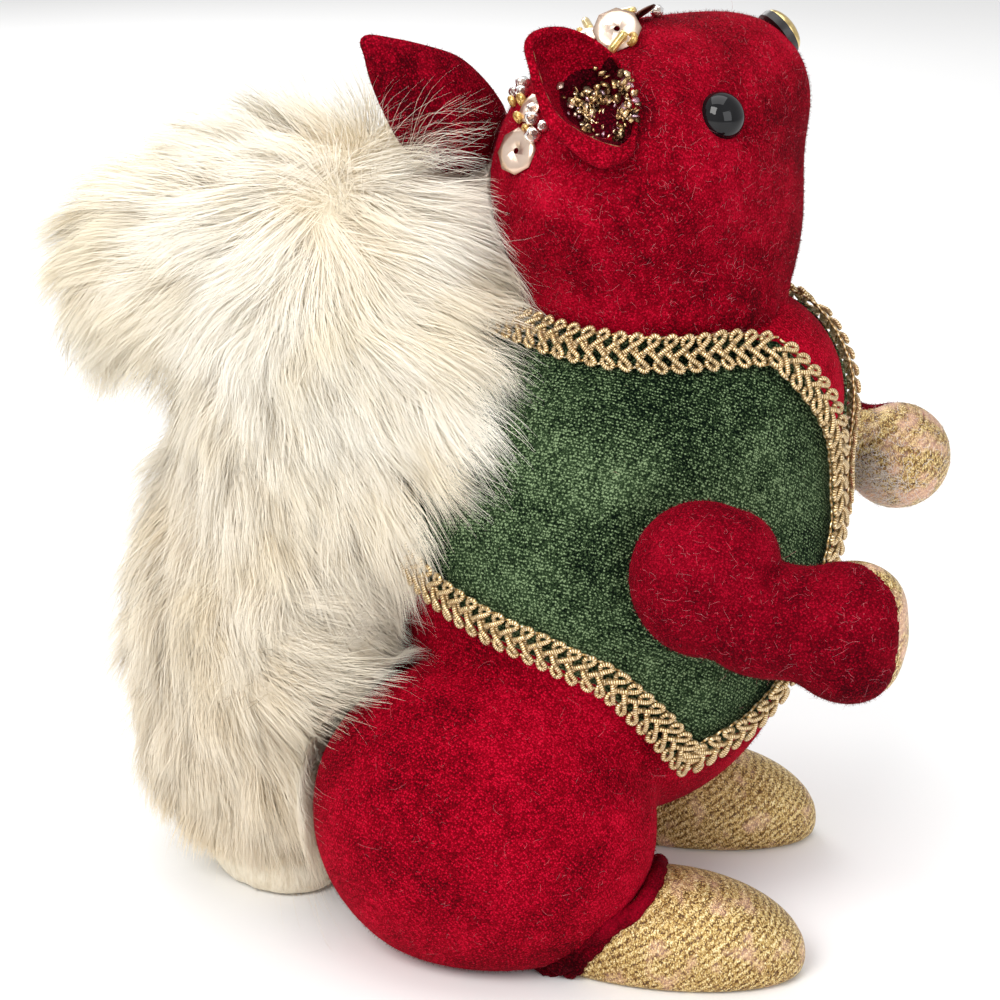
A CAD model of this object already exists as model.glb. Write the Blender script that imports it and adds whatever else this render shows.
import bpy, bmesh, math
import numpy as np
from mathutils import Vector, Matrix


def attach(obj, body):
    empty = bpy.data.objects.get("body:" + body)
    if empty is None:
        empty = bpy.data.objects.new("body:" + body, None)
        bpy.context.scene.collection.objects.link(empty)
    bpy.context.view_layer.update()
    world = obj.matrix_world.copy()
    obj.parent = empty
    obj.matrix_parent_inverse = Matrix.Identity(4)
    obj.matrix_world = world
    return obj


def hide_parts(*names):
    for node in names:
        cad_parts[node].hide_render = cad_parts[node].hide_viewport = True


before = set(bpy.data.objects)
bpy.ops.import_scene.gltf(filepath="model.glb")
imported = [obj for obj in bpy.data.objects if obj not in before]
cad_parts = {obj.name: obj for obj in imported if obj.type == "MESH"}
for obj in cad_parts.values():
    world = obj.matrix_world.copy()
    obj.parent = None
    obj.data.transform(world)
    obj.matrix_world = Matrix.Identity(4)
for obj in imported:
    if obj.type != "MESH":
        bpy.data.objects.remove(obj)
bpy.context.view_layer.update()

# Stuffed velvet squirrel figurine. All shapes below are worked out in millimetres and written in metres.
MM = 0.001


# ------------------------------------------------------------------ camera and light
def make_camera():
    delta, elev, dist = math.radians(11.0), math.radians(20.0), 0.450
    v = Vector((math.cos(delta) * math.cos(elev), math.sin(delta) * math.cos(elev), -math.sin(elev)))
    target = Vector((0, 0, 0.076))
    cd = bpy.data.cameras.new("cam")
    cd.sensor_width = 36.0
    cd.lens = 36.0 * 2.475
    cd.clip_start = 0.01
    cam = bpy.data.objects.new("cam", cd)
    bpy.context.scene.collection.objects.link(cam)
    cam.location = target - dist * v
    cam.rotation_euler = v.to_track_quat("-Z", "Y").to_euler()
    bpy.context.scene.camera = cam


def area(name, loc, target, size, power, colour=(1, 1, 1), size_y=None):
    ld = bpy.data.lights.new(name, "AREA")
    ld.energy = power
    ld.color = colour
    ld.size = size
    if size_y:
        ld.shape = "RECTANGLE"
        ld.size_y = size_y
    o = bpy.data.objects.new(name, ld)
    bpy.context.scene.collection.objects.link(o)
    o.location = loc
    o.rotation_euler = (Vector(target) - Vector(loc)).to_track_quat("-Z", "Y").to_euler()
    return o


def make_light():
    area("key", (-0.75, 0.30, 0.85), (0, 0, 0.08), 0.55, 8.5, (1.0, 0.985, 0.96))
    area("fill", (-0.60, -0.75, 0.40), (0, 0, 0.08), 0.6, 2.6, (0.97, 0.98, 1.0))
    area("top", (0.1, 0.0, 1.0), (0, 0, 0.05), 0.8, 4.0)
    area("back", (0.8, 0.45, 0.55), (0, 0, 0.08), 0.5, 3.0)
    w = bpy.data.worlds.new("studio")
    bpy.context.scene.world = w
    w.use_nodes = True
    w.node_tree.nodes["Background"].inputs[0].default_value = (1, 1, 1, 1)
    w.node_tree.nodes["Background"].inputs[1].default_value = 0.60


make_camera()
make_light()
bpy.context.scene.view_settings.view_transform = "Standard"


# ------------------------------------------------------------------ numbers: noise and distance fields
def _hash(ix, iy, iz, seed):
    n = (ix * 374761393 + iy * 668265263 + iz * 2147483647 + seed * 1274126177) & 0xFFFFFFFF
    n = ((n ^ (n >> 13)) * 1274126177) & 0xFFFFFFFF
    n = n ^ (n >> 16)
    return (n & 0xFFFFFF).astype(np.float64) / 0x7FFFFF - 1.0


def noise3(P, size, seed=0):
    """Smooth value noise in -1..1 with features about size millimetres across."""
    Q = np.asarray(P, float) / size + 1000.0
    I = np.floor(Q).astype(np.int64)
    f = Q - I
    f = f * f * f * (f * (f * 6 - 15) + 10)
    out = 0
    for dx in (0, 1):
        for dy in (0, 1):
            for dz in (0, 1):
                h = _hash(I[:, 0] + dx, I[:, 1] + dy, I[:, 2] + dz, seed)
                w = (f[:, 0] if dx else 1 - f[:, 0]) * (f[:, 1] if dy else 1 - f[:, 1]) * (f[:, 2] if dz else 1 - f[:, 2])
                out = out + h * w
    return out


def fbm(P, size, seed=0, octaves=3):
    a, s, out, tot = 1.0, size, 0, 0
    for k in range(octaves):
        out = out + a * noise3(P, s, seed + 17 * k)
        tot += a
        a *= 0.5
        s *= 0.5
    return out / tot


def unit(v):
    v = np.asarray(v, float)
    return v / np.linalg.norm(v)


def rows(v):
    return v / np.maximum(np.linalg.norm(v, axis=1, keepdims=True), 1e-9)


def ell(P, c, r, B=None):
    Q = P - np.asarray(c, float)
    if B is not None:
        Q = Q @ B.T
    r = np.asarray(r, float)
    k0 = np.linalg.norm(Q / r, axis=1)
    k1 = np.linalg.norm(Q / (r * r), axis=1)
    return k0 * (k0 - 1.0) / np.maximum(k1, 1e-6)


def smin(a, b, k):
    h = np.clip(0.5 + 0.5 * (b - a) / k, 0, 1)
    return b * (1 - h) + a * h - k * h * (1 - h)


def smax(a, b, k):
    return -smin(-a, -b, k)


def grad(f, P, h=0.08):
    g = np.empty_like(P)
    for i in range(3):
        d = np.zeros(3)
        d[i] = h
        g[:, i] = (f(P + d) - f(P - d)) / (2 * h)
    return g


def project(f, P, n=5):
    P = P.copy()
    for _ in range(n):
        d = f(P)
        g = grad(f, P)
        step = (d / np.maximum((g * g).sum(1), 0.05))[:, None] * g
        L = np.linalg.norm(step, axis=1, keepdims=True)
        P -= step * np.minimum(1.0, 3.0 / np.maximum(L, 1e-9))
    return P


def sstep(a, b, x):
    t = np.clip((x - a) / (b - a), 0, 1)
    return t * t * (3 - 2 * t)


# ------------------------------------------------------------------ mesh making
def add_object(name, V, F, mat=None, smooth=True, uv=None, uv_name="OFBake", normals=None):
    """A mesh object from millimetre points; F is an (n, k) array or a list of such arrays."""
    me = bpy.data.meshes.new(name)
    parts = F if isinstance(F, list) else [F]
    parts = [np.asarray(p, dtype=np.int32) for p in parts if len(p)]
    V = np.asarray(V, float) * MM
    me.vertices.add(len(V))
    me.vertices.foreach_set("co", V.astype(np.float32).ravel())
    loops = np.concatenate([p.ravel() for p in parts])
    sizes = np.concatenate([np.full(len(p), p.shape[1], dtype=np.int32) for p in parts])
    starts = np.concatenate([[0], np.cumsum(sizes)[:-1]]).astype(np.int32)
    me.loops.add(len(loops))
    me.loops.foreach_set("vertex_index", loops)
    me.polygons.add(len(sizes))
    me.polygons.foreach_set("loop_start", starts)
    me.polygons.foreach_set("loop_total", sizes)
    if smooth:
        me.polygons.foreach_set("use_smooth", np.ones(len(sizes), dtype=bool))
    if uv is not None:
        layer = me.uv_layers.new(name=uv_name)
        layer.data.foreach_set("uv", np.asarray(uv, np.float32)[loops].ravel() if len(uv) == len(V) else np.asarray(uv, np.float32).ravel())
    me.update(calc_edges=True)
    me.validate()
    if normals is not None and len(normals) == len(me.vertices):
        me.normals_split_custom_set_from_vertices(np.asarray(normals, np.float32))
    ob = bpy.data.objects.new(name, me)
    bpy.context.scene.collection.objects.link(ob)
    if mat is not None:
        me.materials.append(mat)
    return ob


def mesh_arrays(me):
    n = len(me.vertices)
    V = np.empty(n * 3, np.float32)
    me.vertices.foreach_get("co", V)
    V = V.reshape(-1, 3).astype(float) / MM
    tot = np.empty(len(me.polygons), np.int32)
    me.polygons.foreach_get("loop_total", tot)
    st = np.empty(len(me.polygons), np.int32)
    me.polygons.foreach_get("loop_start", st)
    lv = np.empty(len(me.loops), np.int32)
    me.loops.foreach_get("vertex_index", lv)
    faces = []
    for k in np.unique(tot):
        s = st[tot == k]
        faces.append(lv[s[:, None] + np.arange(k)[None, :]])
    return V, faces


def ball(level=4):
    bm = bmesh.new()
    bmesh.ops.create_icosphere(bm, subdivisions=level, radius=1.0)
    V = np.array([v.co[:] for v in bm.verts])
    F = np.array([[v.index for v in f.verts] for f in bm.faces])
    bm.free()
    return V, F


BALL = ball(4)


def modified(ob):
    dg = bpy.context.evaluated_depsgraph_get()
    dg.update()
    ev = ob.evaluated_get(dg)
    me = ev.to_mesh()
    out = mesh_arrays(me)
    ev.to_mesh_clear()
    return out


def drop(ob):
    me = ob.data
    bpy.data.objects.remove(ob, do_unlink=True)
    bpy.data.meshes.remove(me)


def blob(seeds, f, voxel, zmin=None, fair=2, keep=None):
    """A closed quad mesh of the surface f = 0, started from a voxel remesh of the seed ellipsoids."""
    VV, FF, n = [], [], 0
    for c, r, B in seeds:
        Q = BALL[0] * np.asarray(r, float)
        if B is not None:
            Q = Q @ B
        VV.append(Q + np.asarray(c, float))
        FF.append(BALL[1] + n)
        n += len(Q)
    ob = add_object("tmp", np.concatenate(VV), np.concatenate(FF))
    m = ob.modifiers.new("r", "REMESH")
    m.mode = "VOXEL"
    m.voxel_size = voxel * MM
    V, F = modified(ob)
    drop(ob)
    V = project(f, V)
    for _ in range(fair):
        V = relax(V, F, 1, 0.5)
        V = project(f, V, 2)
    return V, F


def edges_of(F):
    E = []
    for q in F if isinstance(F, list) else [F]:
        k = q.shape[1]
        for i in range(k):
            E.append(np.stack([q[:, i], q[:, (i + 1) % k]], 1))
    return np.concatenate(E)


def relax(V, F, n=1, w=0.5, mask=None):
    E = edges_of(F)
    for _ in range(n):
        S = np.zeros_like(V)
        C = np.zeros(len(V))
        np.add.at(S, E[:, 0], V[E[:, 1]])
        np.add.at(S, E[:, 1], V[E[:, 0]])
        np.add.at(C, E[:, 0], 1)
        np.add.at(C, E[:, 1], 1)
        A = S / np.maximum(C, 1)[:, None]
        ww = w if mask is None else (w * mask)[:, None]
        V = V + (A - V) * ww
    return V


def vnormals(V, F):
    N = np.zeros_like(V)
    for q in F if isinstance(F, list) else [F]:
        a, b, c = V[q[:, 0]], V[q[:, 1]], V[q[:, 2]]
        n = np.cross(b - a, c - a)
        if q.shape[1] == 4:
            d = V[q[:, 3]]
            n = n + np.cross(c - a, d - a)
        for i in range(q.shape[1]):
            np.add.at(N, q[:, i], n)
    return rows(N)


def subdivided(V, F, levels=1):
    ob = add_object("tmp", V, F)
    m = ob.modifiers.new("s", "SUBSURF")
    m.levels = levels
    m.render_levels = levels
    out = modified(ob)
    drop(ob)
    return out


def pressed(V, F, pinned, cap, pressure=4.0, frames=20, shrink=0.0):
    """Cloth under inner pressure: pinned is 0..1 a point, cap the farthest that a point may move, in mm."""
    ob = add_object("tmp_cloth", V, F)
    g = ob.vertex_groups.new(name="pin")
    w = np.clip(pinned, 0, 1)
    for lv in range(0, 11):
        idx = np.nonzero(np.round(w * 10) == lv)[0]
        if len(idx):
            g.add([int(i) for i in idx], lv / 10.0, "REPLACE")
    m = ob.modifiers.new("cloth", "CLOTH")
    s = m.settings
    s.quality = 4
    s.mass = 0.15
    s.tension_stiffness = 12
    s.compression_stiffness = 12
    s.shear_stiffness = 4
    s.bending_stiffness = 0.15
    s.use_pressure = True
    s.uniform_pressure_force = pressure
    s.shrink_min = shrink
    s.vertex_group_mass = "pin"
    s.pin_stiffness = 1.0
    s.effector_weights.gravity = 0.0
    m.collision_settings.use_self_collision = False
    m.collision_settings.use_collision = False
    m.point_cache.frame_start = 1
    m.point_cache.frame_end = frames
    sc = bpy.context.scene
    for fr in range(1, frames + 1):
        sc.frame_set(fr)
    W, _ = modified(ob)
    sc.frame_set(1)
    drop(ob)
    if len(W) != len(V):
        return V
    D = W - V
    L = np.linalg.norm(D, axis=1, keepdims=True)
    D *= np.minimum(1.0, cap / np.maximum(L, 1e-9))
    return V + D


# ------------------------------------------------------------------ materials
class Mat:
    def __init__(self, name):
        self.m = bpy.data.materials.new(name)
        self.m.use_nodes = True
        self.t = self.m.node_tree
        self.b = self.t.nodes["Principled BSDF"]
        self.co = None

    def n(self, kind, **kw):
        x = self.t.nodes.new(kind)
        for k, v in kw.items():
            if k.startswith("i_"):
                x.inputs[k[2:].replace("_", " ")].default_value = v
            else:
                setattr(x, k, v)
        return x

    def link(self, a, b):
        self.t.links.new(a, b)

    def coord(self):
        if self.co is None:
            self.co = self.n("ShaderNodeTexCoord").outputs["Object"]
        return self.co

    def noise(self, scale, detail=2.0, rough=0.5, dist=0.0, vec=None):
        x = self.n("ShaderNodeTexNoise")
        x.inputs["Scale"].default_value = scale
        x.inputs["Detail"].default_value = detail
        x.inputs["Roughness"].default_value = rough
        x.inputs["Distortion"].default_value = dist
        self.link(vec if vec is not None else self.coord(), x.inputs["Vector"])
        return x.outputs["Fac"]

    def mapped(self, rot=(0, 0, 0), scale=(1, 1, 1), vec=None):
        x = self.n("ShaderNodeMapping")
        x.inputs["Rotation"].default_value = rot
        x.inputs["Scale"].default_value = scale
        self.link(vec if vec is not None else self.coord(), x.inputs["Vector"])
        return x.outputs["Vector"]

    def ramp(self, fac, stops, interp="LINEAR"):
        x = self.n("ShaderNodeValToRGB")
        x.color_ramp.interpolation = interp
        e = x.color_ramp.elements
        while len(e) < len(stops):
            e.new(0.5)
        for el, (p, c) in zip(e, stops):
            el.position = p
            el.color = (*c, 1) if len(c) == 3 else c
        self.link(fac, x.inputs[0])
        return x.outputs[0]

    def math(self, op, a, b=None, clamp=False):
        x = self.n("ShaderNodeMath", operation=op, use_clamp=clamp)
        for i, v in enumerate((a, b)):
            if v is None:
                continue
            if isinstance(v, (int, float)):
                x.inputs[i].default_value = v
            else:
                self.link(v, x.inputs[i])
        return x.outputs[0]

    def mix(self, fac, a, b, kind="MIX"):
        x = self.n("ShaderNodeMix", data_type="RGBA", blend_type=kind)
        for i, v in ((0, fac), (6, a), (7, b)):
            if isinstance(v, (int, float)):
                x.inputs[i].default_value = v
            elif isinstance(v, tuple):
                x.inputs[i].default_value = (*v, 1)
            else:
                self.link(v, x.inputs[i])
        return x.outputs[2]

    def bump(self, height, strength, distance, normal=None):
        x = self.n("ShaderNodeBump")
        x.inputs["Strength"].default_value = strength
        x.inputs["Distance"].default_value = distance
        self.link(height, x.inputs["Height"])
        if normal is not None:
            self.link(normal, x.inputs["Normal"])
        return x.outputs["Normal"]

    def set(self, **kw):
        for k, v in kw.items():
            key = k.replace("_", " ")
            s = self.b.inputs[key]
            if isinstance(v, (int, float)):
                s.default_value = v
            elif isinstance(v, tuple):
                s.default_value = (*v, 1) if len(s.default_value) == 4 and len(v) == 3 else v
            else:
                self.link(v, s)


def velvet(name, dark, mid, light, fleck, sheen_tint, knit=0.5, sheen=0.3, rot=(0.5, 0.3, 0.7), shade=1.0, specks=0.25):
    """Stretch velvet: every tuft of the pile catches the light by itself, over a dark knitted ground; flecks of lint."""
    M = Mat(name)
    big = M.noise(42.0, 2.0, 0.5, 0.6)
    mid_n = M.noise(230.0, 3.0, 0.6, 0.4)
    v = M.mapped(rot)
    # tufts about a third of a millimetre across, set in knitted rows
    cells = M.n("ShaderNodeTexVoronoi")
    cells.inputs["Scale"].default_value = 3500.0
    M.link(M.mapped(rot, (1.0, 0.8, 0.8)), cells.inputs["Vector"])
    own = M.n("ShaderNodeSeparateColor")
    M.link(cells.outputs["Color"], own.inputs[0])
    dot = M.math("SUBTRACT", 1.0, M.math("MULTIPLY", cells.outputs["Distance"], 1.25), True)
    rows_ = M.n("ShaderNodeTexWave", wave_type="BANDS", bands_direction="X")
    rows_.inputs["Scale"].default_value = 560.0
    rows_.inputs["Distortion"].default_value = 2.2
    rows_.inputs["Detail"].default_value = 1.0
    rows_.inputs["Detail Scale"].default_value = 1.4
    M.link(v, rows_.inputs["Vector"])
    fine = M.noise(5200.0, 1.0, 0.5)
    tuft = M.math("MULTIPLY", M.math("ADD", 0.25, M.math("MULTIPLY", own.outputs[0], 0.95)), dot)
    tuft = M.math("MULTIPLY", tuft, M.math("ADD", 1.0 - 0.45 * knit, M.math("MULTIPLY", rows_.outputs["Fac"], 0.75 * knit)))
    tuft = M.math("ADD", tuft, M.math("MULTIPLY", M.math("SUBTRACT", fine, 0.5), 0.35))
    # the way the pile is brushed, patch by patch
    lie = M.math("ADD", M.math("MULTIPLY", M.math("SUBTRACT", big, 0.5), 1.15 * shade), M.math("MULTIPLY", M.math("SUBTRACT", mid_n, 0.5), 0.75 * shade))
    a = M.math("ADD", M.math("MULTIPLY", tuft, 0.35 + 0.75 * knit), M.math("ADD", 0.36 - 0.28 * knit, lie))
    col = M.ramp(a, [(0.12, dark), (0.42, mid), (0.90, light)])
    fl = M.n("ShaderNodeTexVoronoi")
    fl.inputs["Scale"].default_value = 620.0
    M.link(M.mapped((0.9, 0.2, 1.3), (1.0, 0.35, 1.0)), fl.inputs["Vector"])
    spot = M.ramp(fl.outputs["Distance"], [(0.02, (1, 1, 1)), (0.08, (0, 0, 0))])
    col = M.mix(M.math("MULTIPLY", spot, specks), col, fleck)
    M.set(Base_Color=col, Roughness=0.9, Specular_IOR_Level=0.04, Sheen_Weight=sheen, Sheen_Roughness=0.35, Sheen_Tint=sheen_tint)
    nrm = M.bump(tuft, 0.6, 0.00022)
    nrm = M.bump(mid_n, 0.35, 0.0006, nrm)
    M.set(Normal=nrm)
    return M.m


RED = velvet("red_velvet", (0.060, 0.000, 0.002), (0.235, 0.000, 0.007), (0.62, 0.005, 0.032), (0.60, 0.10, 0.13), (1.0, 0.02, 0.06), knit=0.56, sheen=0.20, shade=0.62)
RED_HEAD = velvet("red_velvet_head", (0.050, 0.000, 0.002), (0.195, 0.000, 0.006), (0.50, 0.004, 0.026), (0.60, 0.10, 0.13), (1.0, 0.02, 0.06), knit=0.42, sheen=0.18, shade=0.82, rot=(0.9, 0.2, 0.2))
RED_ARM = velvet("red_velvet_arm", (0.036, 0.000, 0.002), (0.140, 0.000, 0.005), (0.39, 0.003, 0.020), (0.60, 0.10, 0.13), (1.0, 0.02, 0.06), knit=0.40, sheen=0.14, shade=0.7, rot=(0.4, 0.6, 0.3))
RED_DARK = velvet("red_velvet_shadow", (0.02, 0.000, 0.001), (0.10, 0.000, 0.004), (0.30, 0.001, 0.014), (0.6, 0.10, 0.13), (1.0, 0.02, 0.08), knit=0.3, sheen=0.16)
RED_EAR = velvet("red_velvet_ear", (0.050, 0.000, 0.002), (0.17, 0.000, 0.006), (0.46, 0.003, 0.022), (0.60, 0.10, 0.13), (1.0, 0.02, 0.06), knit=0.6, sheen=0.16, rot=(0.2, 0.1, 0.5))
EAR_HOLLOW = velvet("ear_hollow_velvet", (0.006, 0.000, 0.000), (0.040, 0.000, 0.003), (0.14, 0.001, 0.008), (0.4, 0.10, 0.10), (1.0, 0.05, 0.10), knit=0.5, sheen=0.10)
GREEN = velvet("green_velvet", (0.001, 0.004, 0.002), (0.030, 0.054, 0.022), (0.235, 0.325, 0.170), (0.30, 0.38, 0.26), (0.45, 0.70, 0.40), knit=0.95, sheen=0.16, rot=(0.3, 0.9, 0.4), shade=0.55)


def lurex(name, rot=(0.4, 0.2, 0.6), rose=(0.55, 0.70, 0.42)):
    """Metallic knit: small bright loops in rows, with dark pinholes and a little pink ground showing."""
    M = Mat(name)
    v = M.mapped(rot, (1.0, 1.0, 0.72))
    cells = M.n("ShaderNodeTexVoronoi")
    cells.inputs["Scale"].default_value = 4200.0
    M.link(v, cells.inputs["Vector"])
    row = M.n("ShaderNodeTexWave", wave_type="BANDS", bands_direction="Z")
    row.inputs["Scale"].default_value = 330.0
    row.inputs["Distortion"].default_value = 1.3
    M.link(v, row.inputs["Vector"])
    pick = M.n("ShaderNodeSeparateColor")
    M.link(cells.outputs["Color"], pick.inputs[0])
    tone = M.math("ADD", M.math("MULTIPLY", pick.outputs[0], 0.60), M.math("MULTIPLY", row.outputs["Fac"], 0.22))
    tone = M.math("ADD", tone, M.math("ADD", 0.055, M.math("MULTIPLY", M.noise(150.0, 2.0), 0.19)))
    tone = M.math("SUBTRACT", tone, M.math("MULTIPLY", cells.outputs["Distance"], 0.38))
    col = M.ramp(tone, [(0.11, (0.11, 0.048, 0.012)), (0.30, (0.40, 0.235, 0.066)), (0.54, (0.70, 0.51, 0.20)), (0.86, (1.0, 0.87, 0.53))])
    pink = M.ramp(M.noise(210.0, 2.0, 0.5), [(rose[0], (0, 0, 0)), (rose[1], (1, 1, 1))])
    col = M.mix(M.math("MULTIPLY", pink, rose[2]), col, (0.80, 0.48, 0.38))
    metal = M.ramp(pick.outputs[1], [(0.25, (0.15, 0.15, 0.15)), (0.7, (0.85, 0.85, 0.85))])
    M.set(Base_Color=col, Metallic=metal, Roughness=0.40, Specular_IOR_Level=0.6)
    h = M.math("ADD", M.math("MULTIPLY", row.outputs["Fac"], 0.4), M.math("SUBTRACT", 1.0, cells.outputs["Distance"]))
    M.set(Normal=M.bump(h, 0.7, 0.00018))
    return M.m


LUREX = lurex("gold_lurex")
LUREX_PAW = lurex("gold_lurex_paw", rose=(0.46, 0.62, 0.60))


def plain(name, colour, rough=0.5, metallic=0.0, **kw):
    M = Mat(name)
    n = M.noise(900.0, 3.0, 0.6)
    c2 = tuple(min(1.0, x * 1.18 + 0.004) for x in colour)
    c1 = tuple(x * 0.80 for x in colour)
    M.set(Base_Color=M.ramp(n, [(0.35, c1), (0.65, c2)]), Roughness=rough, Metallic=metallic, **kw)
    M.set(Normal=M.bump(n, 0.15, 0.00008))
    return M.m


# ------------------------------------------------------------------ the body's forms, in mm
HF = unit((0.53, -0.568, 0.629))
HL = unit(np.cross((0, 0, 1), HF))
HU = np.cross(HF, HL)
HB = np.stack([HF, HL, HU])
HC = np.array([0, -26.0, 139.0])


def hp(a, b, c):
    return HC + a * HF + b * HL + c * HU


def hd(a, b, c):
    return unit(a * HF + b * HL + c * HU)


TORSO = [((0, -22, 76), (36, 39, 43)), ((0, -19, 57), (35, 36, 39)), ((2, -41, 98), (22, 20, 20)), ((0, 2, 27), (24, 27, 27.4))]


def f_torso(P):
    d = smin(ell(P, *TORSO[0]), ell(P, *TORSO[1]), 6.0)
    d = smin(d, ell(P, *TORSO[2]), 5.0)
    d = smin(d, ell(P, *TORSO[3]), 6.0)
    return d


HAUNCH = {s: ((s * 28, -2.5, 26), (21, 31, 30)) for s in (-1, 1)}


def f_haunch(s):
    def f(P):
        d = ell(P, *HAUNCH[s])
        return smax(d, 0.05 - P[:, 2], 5.0)
    return f


def f_lower(P):
    """Torso and both haunches as one stuffed form with soft valleys between them."""
    d = f_torso(P)
    for s in (-1, 1):
        d = smin(d, ell(P, *HAUNCH[s]), 3.2)
    return smax(d, 0.05 - P[:, 2], 4.0)


EYES = {-1: hp(8.1, -20.6, 9.0), 1: hp(8.1, 20.6, 9.0)}
EYE_N = {-1: hd(0.33, -0.90, 0.30), 1: hd(0.33, 0.90, 0.30)}


def f_head(P):
    d = smin(ell(P, hp(-2, 0, 1), (27, 24, 24), HB), ell(P, hp(17, 0, -3), (16.5, 14, 15.5), HB), 7.0)
    d = smin(d, ell(P, hp(3, 0, -13), (17, 18.5, 20), HB), 7.0)
    d = smin(d, ell(P, (1, -27, 117), (23, 23, 19)), 6.0)
    # gathers where the head is drawn in at the neck
    a = np.arctan2(P[:, 0], -(P[:, 1] + 27.0))
    win = sstep(107, 112, P[:, 2]) * (1 - sstep(115, 126, P[:, 2]))
    d = d - 0.42 * win * np.sin(15 * a + 1.6 * np.sin(3.1 * a + 0.7)) * (0.6 + 0.4 * np.sin(4.3 * a + 2.0))
    for s in (-1, 1):
        # the eyes are pulled into the wadding
        q = np.linalg.norm(P - (EYES[s] + EYE_N[s] * 1.0), axis=1)
        d = d + 2.2 * np.exp(-(q / 5.0) ** 2)
    return d


FOOT_C = {-1: (-26.5, -35.0, 3.5), 1: (26.5, -33.0, 3.5)}
FOOT_R = (12.2, 25.5, 14.5)


def f_foot(s):
    def f(P):
        d = ell(P, FOOT_C[s], FOOT_R)
        return smax(d, 0.05 - P[:, 2], 2.0)
    return f


ARM_AX = (-42.0, 80.5)
ARMS = {
    -1: [((-43.0, -42, 80.5), (7.8, 12.2, 13.4)), ((-42.8, -53, 74.2), (8.8, 13, 9.8)), ((-42.0, -64.5, 72.9), (9.8, 10.8, 11.4))],
    1: [((43.0, -42, 80.5), (7.8, 12.2, 13.0)), ((42.8, -55, 77.0), (8.6, 14, 9.0)), ((42.2, -69.6, 75), (9.9, 10.3, 10.3))],
}


def palm_side(s, P):
    """Above zero on the paw's palm."""
    n = np.array([-s * 0.8, -0.6, 0.0])
    return (P - np.array(((-42.0, -64.5, 71.0) if s < 0 else ARMS[s][2][0]))) @ n - (2.0 if s < 0 else -3.0) - 0.5 * noise3(P, 3.0, 12)


def f_arm(s):
    def f(P):
        a = ARMS[s]
        d = smin(ell(P, *a[0]), ell(P, *a[1]), 1.0)
        d = smin(d, ell(P, *a[2]), 2.2)
        if s < 0:
            # the blunt end of the near paw
            d = smin(d, ell(P, (-42.3, -67.4, 78.4), (7.6, 6.8, 5.7)), 2.5)
            d = smin(d, ell(P, (-42.3, -66.5, 67.4), (7.6, 6.9, 5.7)), 2.5)
            d = smin(d, ell(P, (-43.0, -47.6, 84.6), (7.0, 6.6, 7.6)), 1.5)
        # the seam where the palm is let in
        q = palm_side(s, P)
        return d + 0.5 * np.exp(-(q / 0.5) ** 2)
    return f


def piece(name, V, F, mat, nodes=(), body="body", smooth=True, uv=None, pad=None, normals=None):
    ob = add_object(name, V, F, mat, smooth, uv, normals=normals)
    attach(ob, body)
    if nodes:
        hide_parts(*nodes)
    return ob


# ------------------------------------------------------------------ stuffed velvet forms
lowV, lowF = blob([(c, r, None) for c, r in TORSO] + [(c, r, None) for c, r in HAUNCH.values()], f_lower, 2.2)
# stuffed out by its wadding where nothing holds it: not at the seams, under the vest or on the ground
in_vest = sstep(0, 6, lowV[:, 2] - np.interp(np.degrees(np.abs(np.arctan2(lowV[:, 0], -(lowV[:, 1] + 22.0)))), [11, 14, 17.5, 21.5, 27, 38, 51, 60.5, 66, 75.3, 86.2, 102, 119, 142.7, 165, 180], [80, 75, 68.5, 59, 49.5, 44.0, 41.0, 38.6, 42.2, 49.8, 57.0, 61.4, 64.5, 69, 73.5, 75.5]) + 3.0)
valley = np.minimum(np.abs(f_torso(lowV) - ell(lowV, *HAUNCH[-1])), np.abs(f_torso(lowV) - ell(lowV, *HAUNCH[1])))
hold = np.maximum.reduce([in_vest, 1 - sstep(1.0, 5.0, valley), 1 - sstep(1.0, 6.0, lowV[:, 2])])
lowV = pressed(lowV, lowF, hold, 0.9)
lowV2, lowF2 = subdivided(lowV, lowF)
piece("body_velvet", lowV2, lowF2, RED, ("torso_cover", "haunch_cover_right", "haunch_cover_left", "torso_stuffing", "haunch_stuffing_right", "haunch_stuffing_left"), pad=0.9)

hV, hF = blob([(hp(-2, 0, 1), (27, 24, 24), HB), (hp(17, 0, -3), (16.5, 14, 15.5), HB), (hp(3, 0, -13), (17, 18.5, 20), HB), ((1, -27, 117), (23, 23, 19), None)], f_head, 1.8)
eye_d = np.minimum(np.linalg.norm(hV - EYES[-1], axis=1), np.linalg.norm(hV - EYES[1], axis=1))
hold = np.maximum.reduce([1 - sstep(5.0, 10.0, eye_d), 1 - sstep(118, 126, hV[:, 2]), 1 - sstep(6, 11, np.linalg.norm(hV - hp(33, -1, -1), axis=1)), sstep(-6, -2, hV @ HU - HC @ HU - 12.0) * (hV @ HF - HC @ HF < 6)])
hV = pressed(hV, hF, hold, 0.7)
hV2, hF2 = subdivided(hV, hF)
piece("head_velvet", hV2, hF2, RED_HEAD, ("head_cover", "head_stuffing"), pad=0.9)


def take(V, F, keep):
    """The faces whose middles keep() picks, with their points renumbered."""
    out, used = [], np.zeros(len(V), bool)
    for q in F if isinstance(F, list) else [F]:
        m = keep(V[q].mean(1))
        q = q[m]
        used[q.ravel()] = True
        out.append(q)
    new = np.cumsum(used) - 1
    return V[used], [new[q] for q in out if len(q)]


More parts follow.
